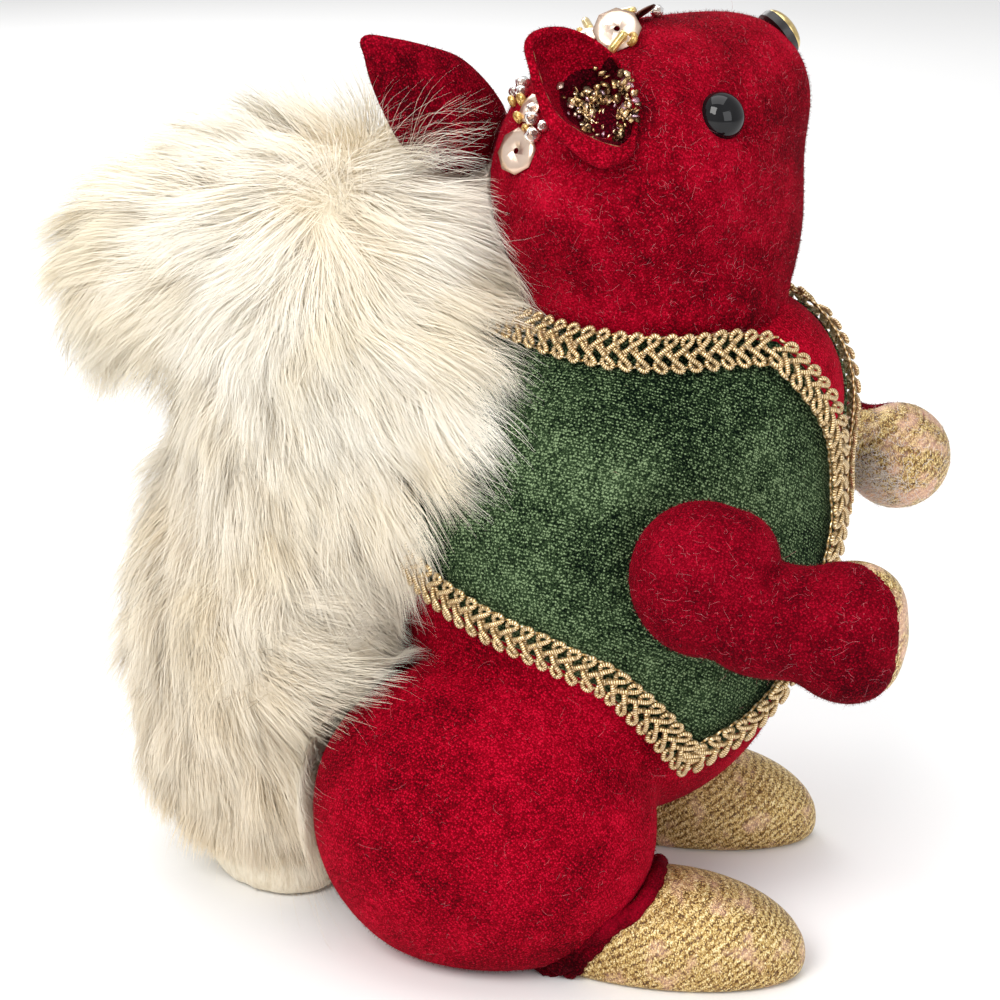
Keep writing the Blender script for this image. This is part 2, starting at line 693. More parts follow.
ARM_MESH, PALM_MESH = {}, {}
for s, side in ((-1, "right"), (1, "left")):
    V, F = blob([(FOOT_C[s], FOOT_R, None)], f_foot(s), 1.6)
    V = pressed(V, F, np.maximum(1 - sstep(0.8, 4.0, V[:, 2]), sstep(-22, -14, V[:, 1])), 0.5)
    piece("foot_lurex_" + side, *subdivided(V, F), LUREX, ("foot_cover_" + side, "foot_stuffing_" + side), pad=0.85)
    V, F = blob([(c, r, None) for c, r in ARMS[s]], f_arm(s), 1.0)
    V, F = subdivided(V, F)
    ARM_MESH[side] = take(V, F, lambda c: palm_side(s, c) < 0)
    piece("arm_velvet_" + side, *ARM_MESH[side], RED_ARM, ("arm_cover_" + side, "arm_stuffing_" + side), body="arm_" + side, pad=0.85)
    PALM_MESH[side] = take(V, F, lambda c: palm_side(s, c) >= 0)
    piece("palm_lurex_" + side, *PALM_MESH[side], LUREX_PAW, ("palm_" + side,), body="arm_" + side)

# ------------------------------------------------------------------ vest
AXY = -22.0
HEM = np.array([(11, 80), (14, 75), (17.5, 68.5), (21.5, 59), (27, 49.5), (38, 44.0), (51, 41.0), (60.5, 38.6), (66, 42.2), (75.3, 49.8), (86.2, 57.0), (102, 61.4), (119, 64.5), (142.7, 69), (165, 73.5), (180, 75.5)])
TOPZ = 112.6


def f_wear(P):
    """What the vest lies on: the body together with the lower neck."""
    return smin(f_lower(P), ell(P, (1, -27, 117), (23, 23, 19)) + 0.6, 3.0)


def cast(th, z, f, off):
    """Point of the surface f = off seen from the body's axis at angle th (degrees, 0 front, 90 its right), height z."""
    th = np.radians(th)
    D = np.stack([-np.sin(th), -np.cos(th), np.zeros_like(th)], 1)
    O = np.stack([np.zeros_like(th), np.full_like(th, AXY), z], 1)
    r = np.full(len(th), 6.0)
    for _ in range(40):
        d = f(O + D * r[:, None]) - off
        r = np.clip(r - 0.75 * d, 2.0, 80.0)
    return O + D * r[:, None]


def front_angle(z):
    return np.interp(z, [80, 90, 97, 103, 108, 113], [11.0, 9.5, 11.5, 15.5, 19.5, 23.5])


def vest_point(u, v, side, off):
    """u 0 at the front edge, 1 at the back; v 0 at the hem, 1 at the neck."""
    zf = 80 + (TOPZ - 80) * v
    th0 = front_angle(zf)
    th = th0 + (180 - th0) * u
    thl = 11.0 + (180 - 11.0) * u
    zl = np.interp(thl, HEM[:, 0], HEM[:, 1])
    top = TOPZ - 0.5 + 2.5 * sstep(20, 46, th) - 1.0 * sstep(125, 160, th)      # the neckline is highest over the shoulder
    z = zl + (top - zl) * v
    P = cast(th if side > 0 else -th, z, f_wear, off)
    return P


SHO = {-1: np.array([-36.0, -42.0, 80.5]), 1: np.array([36.0, -42.0, 80.5])}


def vest_relief(P):
    """How far the vest stands off, from the pull of the arms' thread and the way it hangs."""
    h = 0.35 * fbm(P, 14.0, 31, 2)
    for s in (-1, 1):
        d = P - SHO[s]
        near = np.exp(-((P[:, 0] - s * 33) / 14.0) ** 2)
        q = np.hypot(d[:, 1], d[:, 2])
        a = np.arctan2(d[:, 2], -d[:, 1])               # 0 forward, +90 up
        # pulled in under the shoulder, a roll of cloth standing round its lower edge
        h = h - 1.0 * np.exp(-(q / 9.0) ** 2) * near
        low = 0.5 - 0.5 * np.sin(a + 0.35)
        h = h + 1.25 * np.exp(-((q - 16.5) / 2.6) ** 2) * near * (0.15 + 0.85 * low)
        h = h - 0.85 * np.exp(-((q - 21.5) / 2.4) ** 2) * near * low
        # creases that run from the shoulder to the lower front edge
        for k, (ang, amp, wd) in enumerate(((-1.15, 0.9, 0.10), (-0.86, -0.7, 0.09), (-0.62, 0.75, 0.09), (-1.55, 0.5, 0.12), (0.95, 0.45, 0.11), (0.62, -0.35, 0.10))):
            da = np.angle(np.exp(1j * (a - ang)))
            h = h + amp * np.exp(-(da / wd) ** 2) * sstep(13, 19, q) * (1 - sstep(30, 44, q)) * near
    return h


def vest_grid(side, nu, nv):
    uu = np.linspace(0, 1, nu) ** 1.25
    vv = np.linspace(0, 1, nv)
    U, Vv = np.meshgrid(uu, vv, indexing="ij")
    P = vest_point(U.ravel(), Vv.ravel(), side, 1.0)
    return P.reshape(nu, nv, 3)


NU, NV = ((180, 92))
GR = vest_grid(1, NU, NV)
GL = vest_grid(-1, NU, NV)
G = np.concatenate([GR, GL[::-1][1:]], 0)
nu, nv = G.shape[:2]
VP = G.reshape(-1, 3)
idx = np.arange(nu * nv).reshape(nu, nv)
VF = np.stack([idx[:-1, :-1], idx[1:, :-1], idx[1:, 1:], idx[:-1, 1:]], -1).reshape(-1, 4)
VN = vnormals(VP, VF)
if np.mean((VN * (VP - np.array([0, AXY, 76]))).sum(1)) < 0:
    VF = VF[:, ::-1]
    VN = -VN
edge_in = np.minimum(1, np.minimum.reduce([idx * 0 + np.arange(nu)[:, None], (nu - 1 - np.arange(nu))[:, None] + idx * 0, idx * 0 + np.arange(nv)[None, :], idx * 0 + (nv - 1 - np.arange(nv))[None, :]]) / 10.0).ravel()
rel = vest_relief(VP)
VPd = VP + VN * (np.maximum(rel, -0.55) * (0.25 + 0.75 * edge_in))[:, None]
# closed cloth: outer face, inner face, rim
TH = 0.7
inner = VPd - vnormals(VPd, VF) * TH
n0 = len(VPd)
rim = np.concatenate([idx[0, :], idx[1:, -1], idx[-1, ::-1][1:], idx[::-1, 0][1:-1]])
rimF = np.stack([rim, np.roll(rim, -1), np.roll(rim, -1) + n0, rim + n0], 1)
cloth = np.concatenate([VPd, inner])
clothF = np.concatenate([VF, VF[:, ::-1] + n0, rimF[:, ::-1]])
vest = piece("vest_velvet", cloth, clothF, GREEN, ("vest",))


# ------------------------------------------------------------------ gimp braid
def resample(P, step):
    d = np.concatenate([[0], np.cumsum(np.linalg.norm(np.diff(P, axis=0), axis=1))])
    n = max(2, int(round(d[-1] / step)) + 1)
    t = np.linspace(0, d[-1], n)
    return np.stack([np.interp(t, d, P[:, i]) for i in range(3)], 1), t


def smooth_line(P, n=3):
    for _ in range(n):
        Q = P.copy()
        Q[1:-1] = 0.25 * P[:-2] + 0.5 * P[1:-1] + 0.25 * P[2:]
        P = Q
    return P


def tube(path, radius, sides, normal_hint, squash=1.0, v0=0.0, vscale=1.0, closed=False):
    """Rings along a path; returns points, quads, uv."""
    n = len(path)
    T = np.gradient(path, axis=0)
    T = rows(T)
    N = normal_hint - (normal_hint * T).sum(1, keepdims=True) * T
    N = rows(N)
    B = np.cross(T, N)
    a = np.linspace(0, 2 * np.pi, sides, endpoint=False)
    r = np.broadcast_to(np.asarray(radius, float), (n,))
    P = path[:, None, :] + (np.cos(a)[None, :, None] * B[:, None, :] + squash * np.sin(a)[None, :, None] * N[:, None, :]) * r[:, None, None]
    i = np.arange(n * sides).reshape(n, sides)
    F = np.stack([i[:-1], np.roll(i, -1, 1)[:-1], np.roll(i, -1, 1)[1:], i[1:]], -1).reshape(-1, 4)
    cap = []
    if not closed:
        cap = [i[0][::-1][None, :], i[-1][None, :]]
    d = np.concatenate([[0], np.cumsum(np.linalg.norm(np.diff(path, axis=0), axis=1))])
    uv = np.stack([np.broadcast_to(np.arange(sides) / sides, (n, sides)), np.broadcast_to((v0 + d * vscale)[:, None], (n, sides))], -1).reshape(-1, 2)
    return P.reshape(-1, 3), F, cap, uv


class Bag:
    """Collects many small meshes into one object."""

    def __init__(self):
        self.V, self.Q, self.UV, self.n = [], {}, [], 0

    def add(self, V, F, uv=None):
        for q in F if isinstance(F, list) else [F]:
            if len(q):
                self.Q.setdefault(np.shape(q)[1], []).append(np.asarray(q) + self.n)
        self.V.append(V)
        self.UV.append(uv if uv is not None else np.zeros((len(V), 2)))
        self.n += len(V)

    def put(self, name, mat, nodes=(), body="body", with_uv=False, smooth=True, **k):
        V = np.concatenate(self.V)
        F = [np.concatenate(v) for v in self.Q.values()]
        uv = np.concatenate(self.UV) if with_uv else None
        return piece(name, V, F, mat, nodes, body, smooth, uv)


def gimp(bag, line, width, pitch=2.80, cord=0.45, rng=None, lift=0.55, surf=None):
    """Looped and plaited braid along a line of surface points, offset from the vest's edge already."""
    rng = rng or np.random.default_rng(3)
    P, t = resample(line, 0.25)
    P = smooth_line(P, 6)
    if surf is not None:
        P = project(surf, P, 3)
    T = rows(np.gradient(P, axis=0))
    N = rows(grad(f_wear, P))
    N = rows(N - (N * T).sum(1, keepdims=True) * T)
    S = np.cross(N, T)
    L = t[-1]
    units = int(L / pitch)
    hw = width / 2
    k = (L - 1.0) / (units * pitch)
    # one repeat of the cord: in along the middle, up and round the eyelet, over itself and down again
    rep_ = np.array([(-1.30, -0.40, 0.05), (-0.60, 0.30, 0.10), (-0.02, 0.96, 0.12), (0.56, 1.42, 0.25), (0.82, 2.02, 0.40), (0.38, 2.60, 0.50), (-0.34, 2.62, 0.52), (-0.80, 2.06, 0.60), (-0.46, 1.46, 0.85), (0.12, 0.98, 1.00), (0.56, 0.42, 0.90), (0.95, -0.08, 0.55)])
    m = len(rep_)
    scale_y = (hw - cord) / 2.65
    for sgn, ph in ((1, 0.0), (-1, 0.46)):
        ctrl = np.concatenate([rep_ + np.array([pitch * j, 0, 0]) for j in range(units)])
        ctrl[:, 0] += ph * pitch + rng.uniform(-0.10, 0.10, len(ctrl))
        ctrl[:, 1:2] = ctrl[:, 1:2] * scale_y + rng.uniform(-0.09, 0.09, (len(ctrl), 1))
        t2 = np.linspace(0, len(ctrl) - 1.001, int(len(ctrl) * 2.3))
        i0 = np.floor(t2).astype(int)
        fr = (t2 - i0)[:, None]
        g = lambda j: ctrl[np.clip(i0 + j, 0, len(ctrl) - 1)]
        c = 0.5 * (2 * g(0) + (g(1) - g(-1)) * fr + (2 * g(-1) - 5 * g(0) + 4 * g(1) - g(2)) * fr * fr + (3 * g(0) - 3 * g(1) + g(2) - g(-1)) * fr ** 3)
        y = c[:, 1]
        k = (L - 1.0) / ((units + 0.6) * pitch)
        s = np.clip((c[:, 0] + 1.6 - 0.36 * y) * k + 0.8, 0.2, L - 0.2)
        z = lift + c[:, 2] * 0.85 + (0.10 if sgn > 0 else 0.0)
        C = np.stack([np.interp(s, t, P[:, i]) for i in range(3)], 1)
        Sx = np.stack([np.interp(s, t, S[:, i]) for i in range(3)], 1)
        Nx = np.stack([np.interp(s, t, N[:, i]) for i in range(3)], 1)
        path = C + Sx * (sgn * y)[:, None] + Nx * z[:, None]
        V, F, cap, uv = tube(path, cord, 7, Nx + 0.01, 0.9)
        bag.add(V, [F] + cap, np.stack([uv[:, 0], np.mod(uv[:, 1] * 0.32, 1.0)], 1))
    # fine thread that ties the picots along both edges and the ground under them
    for sgn in (-1, 1):
        s = np.linspace(0.2, L - 0.2, int(L / 0.45))
        y = sgn * (hw - 0.95 + 0.18 * np.sin(s / pitch / k * 2 * np.pi))
        C = np.stack([np.interp(s, t, P[:, i]) for i in range(3)], 1)
        Sx = np.stack([np.interp(s, t, S[:, i]) for i in range(3)], 1)
        Nx = np.stack([np.interp(s, t, N[:, i]) for i in range(3)], 1)
        V, F, cap, uv = tube(C + Sx * y[:, None] + Nx * (lift - 0.28), 0.26, 5, Nx)
        bag.add(V, [F] + cap, np.stack([uv[:, 0] * 0.1, np.mod(uv[:, 1] * 0.1, 1.0)], 1))
    return L


def gimp_mat(name):
    """Metallised thread wound on a pale core."""
    M = Mat(name)
    uvn = M.n("ShaderNodeUVMap")
    uvn.uv_map = "OFBake"
    sep = M.n("ShaderNodeSeparateXYZ")
    M.link(uvn.outputs[0], sep.inputs[0])
    tw = M.math("ADD", M.math("MULTIPLY", sep.outputs[1], 8.0), M.math("MULTIPLY", sep.outputs[0], 1.0))
    band = M.math("FRACT", tw)
    band = M.math("ABSOLUTE", M.math("SUBTRACT", band, 0.5))
    n = M.noise(1400.0, 2.0, 0.6)
    t = M.math("ADD", M.math("MULTIPLY", band, 1.35), M.math("MULTIPLY", n, 0.45))
    col = M.ramp(t, [(0.18, (0.095, 0.042, 0.012)), (0.40, (0.46, 0.28, 0.090)), (0.66, (0.80, 0.58, 0.29)), (0.92, (1.0, 0.90, 0.68))])
    M.set(Base_Color=col, Metallic=0.72, Roughness=0.32, Specular_IOR_Level=0.6)
    M.set(Normal=M.bump(band, 0.9, 0.00016))
    return M.m


GIMP = gimp_mat("gold_gimp")
BW = 6.9
on_vest = lambda P: f_wear(P) - 1.85


def inset(edge, d):
    """A line on the vest, d mm in from an edge line; edge runs with the cloth on its left seen from outside."""
    E, _ = resample(edge, 0.5)
    E = smooth_line(E, 4)
    T = rows(np.gradient(E, axis=0))
    N = rows(grad(f_wear, E))
    return project(on_vest, E + np.cross(N, T) * d, 3)


def edge_line(u0, u1, v0, v1, side, n=220):
    u = np.linspace(u0, u1, n)
    v = np.linspace(v0, v1, n)
    return vest_point(u, v, side, 1.0)


U_CORNER = (60.5 - 11.0) / 169.0
rngb = np.random.default_rng(11)
# hem: right corner, round the back, left corner (cloth above: runs with the back on the way)
hem = np.concatenate([edge_line(U_CORNER, 1, 0, 0, 1), edge_line(1, U_CORNER, 0, 0, -1)[1:]])
neck = np.concatenate([edge_line(0, 1, 1, 1, 1), edge_line(1, 0, 1, 1, -1)[1:]])
frR = np.concatenate([edge_line(U_CORNER, 0, 0, 0, 1), edge_line(0, 0, 0, 1, 1)[1:]])
frL = np.concatenate([edge_line(U_CORNER, 0, 0, 0, -1), edge_line(0, 0, 0, 1, -1)[1:]])


def inward(line, ref):
    """+1 or -1, so that inset() goes towards the cloth."""
    E, _ = resample(line, 0.5)
    m = len(E) // 2
    T = rows(np.gradient(E, axis=0))
    N = rows(grad(f_wear, E))
    S = np.cross(N, T)
    return 1.0 if np.dot(S[m], ref - E[m]) > 0 else -1.0


for nm, ln, ref, node in (
    ("hem_gimp", hem, np.array([0, 17, 95.0]), "hem_braid"),
    ("neck_gimp", neck, np.array([0, 10, 90.0]), "neck_braid"),
    ("front_gimp_right", frR, np.array([-28, -45, 78.0]), "front_braid_right"),
    ("front_gimp_left", frL, np.array([28, -45, 78.0]), "front_braid_left"),
):
    bag = Bag()
    sg = inward(ln, ref)
    L = gimp(bag, inset(ln, sg * (BW / 2 - 1.0)), BW, rng=rngb)
    bag.put(nm, GIMP, (node,), with_uv=True)


# ------------------------------------------------------------------ tail
# points of the tail's skin: x, y, z, radius seen from the side, half width
SKIN = [
    (0, 45.0, 3.0, 9.5, 15.0),
    (0, 47.0, 14.0, 13.5, 17.0),
    (0, 49.5, 27.0, 18.0, 17.5),
    (0, 49.0, 42.0, 20.5, 17.5),
    (0, 44.5, 57.0, 22.5, 18.0),
    (0, 39.0, 71.0, 23.5, 18.0),
    (0, 34.0, 85.0, 24.5, 19.0),
    (0, 29.5, 100.0, 26.0, 20.0),
    (0, 26.5, 116.0, 25.0, 20.0),
    (0, 41.0, 123.0, 18.5, 17.0),
    (0, 54.0, 121.0, 15.5, 15.0),
    (0, 66.5, 116.0, 11.0, 11.0),
    (-10, 14.0, 103.0, 12.0, 10.0),
    (10, 14.0, 103.0, 12.0, 10.0),
    (-10, 21.0, 86.0, 11.0, 9.0),
    (10, 21.0, 86.0, 11.0, 9.0),
    (-8, 31.0, 62.0, 9.0, 8.0),
    (8, 31.0, 62.0, 9.0, 8.0),
    (-10, 38.0, 4.0, 9.0, 8.5),
    (-16, 8.0, 96.0, 8.0, 7.0),
    (16, 8.0, 96.0, 8.0, 7.0),
    (-14, 19.0, 82.0, 6.5, 6.0),
    (14, 19.0, 82.0, 6.5, 6.0),
    (-16, 35.0, 44.0, 9.0, 7.5),
    (16, 35.0, 44.0, 9.0, 7.5),
    (-13, 36.0, 28.0, 8.0, 7.5),
    (13, 36.0, 28.0, 8.0, 7.5),
]
# how the pile lies: y, z, then its direction in y and z
LIE = np.array([
    (42.5, 141.6, 0.9, 0.25), (64.8, 126.6, 1, -0.15), (71.0, 113.6, 0.6, -0.7), (53.6, 132.4, 1, 0.05), (58.3, 108.8, 0.5, -0.8),
    (31.8, 143.7, 0.55, 0.6), (21.3, 145.9, -0.2, 0.9), (11.0, 142.9, -0.8, 0.45), (4.1, 136.3, -1, 0.1), (0.7, 126.1, -1, -0.25),
    (-2.7, 117.5, -1, -0.25), (-2.7, 103.2, -0.95, -0.1), (0.8, 93.9, -0.9, -0.35), (8.0, 84.2, -0.85, -0.45), (22.4, 128.5, -0.9, -0.3),
    (31.5, 117.2, -0.55, -0.75), (36.0, 132.0, 0.9, 0.0), (43.5, 121.5, 0.8, -0.5), (21.0, 137.0, -0.95, 0.2), (41.8, 109.7, 0.1, -1), (48.0, 92.8, 0.1, -1), (56.1, 77.1, 0.25, -0.95), (64.7, 56.9, 0.15, -1),
    (43.0, 78.0, -0.1, -1), (27.8, 94.1, -0.45, -0.85), (15.1, 98.5, -0.75, -0.55), (20.9, 75.8, -0.65, -0.7), (28.6, 59.8, -0.6, -0.75),
    (15.5, 66.6, -0.9, -0.3), (34.5, 49.4, -0.85, -0.2), (28.8, 51.9, -0.9, 0.45), (38.6, 39.0, -0.6, -0.6), (31.1, 35.7, -0.85, -0.45),
    (43.8, 54.6, -0.2, -1), (54.1, 37.7, 0, -1), (60.7, 20.6, -0.1, -1), (43.2, 18.1, -0.3, -0.9), (49.5, 4.8, -0.1, -1),
])


def f_skin(P):
    d = None
    for x, y, z, r, hw in SKIN:
        e = ell(P, (x, y, z), (hw, r, r))
        d = e if d is None else smin(d, e, 7.0)
    d = smax(d, 2.4 - f_lower(P), 2.0)
    d = smax(d, 0.6 - f_head(P), 2.0)
    return smax(d, 0.4 - P[:, 2], 1.0)


sV, sF = blob([((x, y, z), (hw, r, r), None) for x, y, z, r, hw in SKIN], f_skin, 2.0, fair=3)


def pile_mat(name):
    M = Mat(name)
    n = M.noise(1500.0, 3.0, 0.6, vec=M.mapped((0, 0, 0), (1, 1, 0.25)))
    big = M.noise(120.0, 2.0)
    t = M.math("ADD", M.math("MULTIPLY", n, 0.6), M.math("MULTIPLY", big, 0.4))
    M.set(Base_Color=M.ramp(t, [(0.35, (0.66, 0.57, 0.42)), (0.65, (0.90, 0.83, 0.68))]), Roughness=0.9, Specular_IOR_Level=0.1, Sheen_Weight=0.4, Sheen_Roughness=0.4, Sheen_Tint=(1.0, 0.95, 0.85))
    M.set(Normal=M.bump(n, 0.7, 0.0004))
    return M.m


PILE = pile_mat("cream_pile")
piece("tail_ground", *subdivided(sV, sF), PILE, ("tail_fur_cover", "tail_base_patch", "tail_stuffing"), pad=0.7)


def fur_mat(name):
    """u picks a hair's own tone, v runs from its root to its tip."""
    M = Mat(name)
    uvn = M.n("ShaderNodeUVMap")
    uvn.uv_map = "OFBake"
    sep = M.n("ShaderNodeSeparateXYZ")
    M.link(uvn.outputs[0], sep.inputs[0])
    root = M.ramp(sep.outputs[1], [(0.0, (0.93, 0.86, 0.74)), (0.30, (0.96, 0.91, 0.82)), (1.0, (0.985, 0.965, 0.905))])
    comb = M.n("ShaderNodeCombineXYZ")
    M.link(sep.outputs[0], comb.inputs[0])
    tone = M.noise(37.0, 2.0, 0.6, vec=comb.outputs[0])
    tint = M.ramp(tone, [(0.30, (0.965, 0.925, 0.84)), (0.55, (1.0, 0.985, 0.95)), (0.75, (1.0, 1.0, 1.0))])
    col = M.mix(1.0, root, tint, "MULTIPLY")
    patch = M.ramp(M.noise(34.0, 3.0, 0.55, 0.6), [(0.36, (0.965, 0.925, 0.84)), (0.56, (1.0, 1.0, 1.0))])
    low = M.n("ShaderNodeSeparateXYZ")
    M.link(M.coord(), low.inputs[0])
    foot = M.ramp(low.outputs[2], [(0.0, (0.88, 0.81, 0.71)), (0.105, (1.0, 1.0, 1.0))])
    col = M.mix(1.0, col, M.mix(1.0, patch, foot, "MULTIPLY"), "MULTIPLY")
    M.set(Base_Color=col, Roughness=0.6, Specular_IOR_Level=0.2, Sheen_Weight=0.3, Sheen_Roughness=0.4, Sheen_Tint=(1.0, 0.97, 0.9))
    return M.m


FUR = fur_mat("cream_fur")


def sample_surface(V, F, n, rng, weight=None):
    T = []
    for q in F if isinstance(F, list) else [F]:
        T.append(q[:, :3])
        if q.shape[1] == 4:
            T.append(q[:, [0, 2, 3]])
    T = np.concatenate(T)
    a, b, c = V[T[:, 0]], V[T[:, 1]], V[T[:, 2]]
    A = np.linalg.norm(np.cross(b - a, c - a), axis=1)
    if weight is not None:
        A = A * weight((a + b + c) / 3)
    cdf = np.cumsum(A)
    k = np.searchsorted(cdf, rng.random(n) * cdf[-1])
    r1, r2 = np.sqrt(rng.random(n)), rng.random(n)
    P = (1 - r1)[:, None] * a[k] + (r1 * (1 - r2))[:, None] * b[k] + (r1 * r2)[:, None] * c[k]
    return P, A.sum() / 2


def skin_flow(P):
    """Direction in which the pile lies, from the nearest of the noted directions."""
    q = (P[:, None, 1] - LIE[None, :, 0]) ** 2 + (P[:, None, 2] - LIE[None, :, 1]) ** 2
    w = np.exp(-q / 8.5 ** 2) + np.exp(-q / 20.0 ** 2) * 0.02 + 1e-9
    D = np.stack([np.zeros(len(LIE)), LIE[:, 2], LIE[:, 3]], 1)
    D = (w[:, :, None] * rows(D)[None]).sum(1) / w.sum(1, keepdims=True)
    # where the directions part, the pile stands up and goes every way
    loose = np.clip(1.1 - np.linalg.norm(D, axis=1, keepdims=True), 0, 1)
    return D + loose * 1.9 * np.stack([noise3(P, 6, 91), noise3(P, 6, 92), 0.8 * noise3(P, 6, 93)], 1)


def clear_of(P, gap=0.5):
    """Keeps hairs outside the body, the vest and the head."""
    for f, off in ((f_lower, 2.3 + gap), (f_head, 0.3 + gap)):
        d = f(P) - off
        m = (d < 0) & (d > -9)
        if m.any():
            g = rows(grad(f, P[m]))
            P[m] -= g * d[m][:, None]
    return P


def hair_piece(R, N, D, length, width, segs, rng, curl=0.38, droop=0.08, clump=0.36, per=90, lift=0.46, loose=0.17):
    """Tapered ribbons from the roots R; they leave along N, turn to D, and each lock bends and closes its own way."""
    from mathutils import kdtree
    n = len(R)
    nl = max(1, n // per)
    seedi = rng.choice(n, nl, replace=False)
    kd = kdtree.KDTree(nl)
    for k, i in enumerate(seedi):
        kd.insert(R[i], k)
    kd.balance()
    lock = np.array([kd.find(p)[1] for p in R])
    cnt = np.maximum(np.bincount(lock, minlength=nl), 1)
    mean = lambda Q: np.stack([np.bincount(lock, Q[:, a], minlength=nl) / cnt for a in range(3)], 1)
    NL, DL = rows(mean(N)), rows(mean(D))
    ld = rows(rng.normal(size=(nl, 3)))
    ld = rows(ld - 0.6 * (ld * NL).sum(1, keepdims=True) * NL)
    ll = rng.uniform(0.72, 1.15, nl)
    turn = rng.uniform(0.6, 1.4, nl)
    L = length * ll[lock] * rng.uniform(0.70, 1.06, n)
    c1 = rows(rng.normal(size=(n, 3)))
    Dm = D * 0.5 + mean(D)[lock] * 0.5
    d0 = N * lift + Dm * 0.75 + ld[lock] * 0.20 + c1 * loose
    p = R - N * 0.3
    path = [p]
    for k in range(segs):
        t = (k + 1) / segs
        bend = (curl * np.sin(t * 3.0 * turn))[lock][:, None]
        d = rows(d0 * (1 - t) + Dm * (0.45 + 0.85 * t) + ld[lock] * bend + c1 * loose * (0.6 + 1.0 * t) + np.array([0, 0, -droop]) * t + N * 0.18)
        p = clear_of(p + d * (L / segs)[:, None])
        path.append(p)
    path = np.stack(path, 1)
    tt = np.linspace(0, 1, segs + 1)
    mid = np.stack([mean(path[:, k]) for k in range(segs + 1)], 1)
    w = (clump * rng.uniform(0.1, 1.5, n))[:, None, None] * (tt ** 1.25)[None, :, None]
    path = path * (1 - w) + mid[lock] * w
    path = clear_of(path.reshape(-1, 3), 0.2).reshape(n, segs + 1, 3)
    T = np.gradient(path, axis=1)
    T = T / np.maximum(np.linalg.norm(T, axis=2, keepdims=True), 1e-9)
    side = np.cross(T, N[:, None, :])
    side = side / np.maximum(np.linalg.norm(side, axis=2, keepdims=True), 1e-9)
    up = np.cross(side, T)
    up *= np.sign((up * N[:, None]).sum(2, keepdims=True))
    a = rng.uniform(-0.7, 0.7, n)[:, None, None]
    sd = side * np.cos(a) + up * np.sin(a)
    wd = (width * rng.uniform(0.7, 1.3, n))[:, None] * (1 - 0.88 * tt ** 1.7)[None, :]
    A = path + sd * wd[:, :, None] / 2
    B = path - sd * wd[:, :, None] / 2
    V = np.stack([A, B], 2).reshape(-1, 3)
    # shaded like the lock that it lies in
    nn = NL[lock][:, None] * 0.95 + up * 0.22 + ld[lock][:, None] * 0.09 + c1[:, None] * 0.04
    nn = nn / np.linalg.norm(nn, axis=2, keepdims=True)
    nn = np.repeat(nn[:, :, None], 2, 2).reshape(-1, 3)
    i = np.arange(n * (segs + 1) * 2).reshape(n, segs + 1, 2)
    F = np.stack([i[:, :-1, 0], i[:, 1:, 0], i[:, 1:, 1], i[:, :-1, 1]], -1).reshape(-1, 4)
    u = np.clip(rng.random(nl)[lock] * 0.75 + rng.random(n) * 0.25, 0, 1)
    uv = np.stack([np.broadcast_to(u[:, None, None], (n, segs + 1, 2)), np.broadcast_to(tt[None, :, None], (n, segs + 1, 2))], -1).reshape(-1, 2)
    return V, F, uv, nn


def put_hair(name, V, F, uv, nn, mat, body="body", limit=90000):
    """Split into pieces small enough to be stored whole."""
    for k, a in enumerate(range(0, len(F), limit)):
        q = F[a:a + limit]
        lo, hi = q.min(), q.max() + 1
        piece("%s_%02d" % (name, k), V[lo:hi], q - lo, mat, (), body, True, uv[lo:hi], normals=nn[lo:hi])


rngf = np.random.default_rng(5)
NH = 120000
R, skin_area = sample_surface(sV, sF, NH, rngf, lambda c: np.where(c[:, 2] < 6, 0.2, 1.0) * (0.15 + 0.85 * (np.minimum(f_lower(c) - 3.0, f_head(c) - 1.6) > 0)))
Nn = rows(grad(f_skin, R))
D = skin_flow(R)
# hair on the tail's flanks leans outwards a little, and the whole coat waves
D = D + np.stack([0.20 * Nn[:, 0], 0 * Nn[:, 0], 0 * Nn[:, 0]], 1)
D = D + 0.34 * np.stack([noise3(R, 21, 3), noise3(R, 21, 4), noise3(R, 21, 5)], 1) + 0.22 * np.stack([noise3(R, 9, 6), noise3(R, 9, 7), noise3(R, 9, 8)], 1)
D = D - (D * Nn).sum(1, keepdims=True) * Nn * 0.75
D = D / np.maximum(np.linalg.norm(D, axis=1, keepdims=True), 0.75)
# locks that fall forward over the hips
hip = (1 - sstep(30, 47, R[:, 1])) * sstep(16, 26, R[:, 2]) * (1 - sstep(50, 64, R[:, 2]))
D = D * (1 - 0.75 * hip)[:, None] + (0.75 * hip)[:, None] * np.stack([0.80 * np.sign(R[:, 0]), np.full(len(R), -0.72), 0.06 + 0.50 * noise3(R, 15, 44)], 1)
# long where it falls over the back of the vest, short at the foot of the tail
over = (1 - sstep(14, 34, R[:, 1])) * sstep(72, 84, R[:, 2])
Lh = 18.5 * (0.60 + 0.38 * sstep(12, 50, R[:, 2])) * (0.92 + 0.22 * noise3(R, 24, 9)) * (1 + 0.42 * over * (1 - 0.2 * sstep(96, 112, R[:, 2])) + 0.85 * hip)
Lh = np.where(R[:, 2] < 16, Lh * (0.16 + 0.84 * sstep(6, 17, R[:, 2])), Lh)
V, F, uv, nn = hair_piece(R, Nn, D, Lh, 0.115, 7, rngf)
V[:, 2] = np.maximum(V[:, 2], 0.15)
put_hair("tail_fur", V, F, uv, nn, FUR)
# finer, longer hairs that stand out of the coat
m = rngf.choice(len(R), len(R) // 12, replace=False)
V, F, uv, nn = hair_piece(R[m], Nn[m], rows(D[m] + 0.35 * Nn[m] + 0.28 * rngf.normal(size=(len(m), 3))), Lh[m] * 1.25, 0.06, 7, rngf, curl=0.5, clump=0.15, lift=0.6, loose=0.3)
V[:, 2] = np.maximum(V[:, 2], 0.15)
put_hair("tail_guard_hair", V, F, uv, nn, FUR)


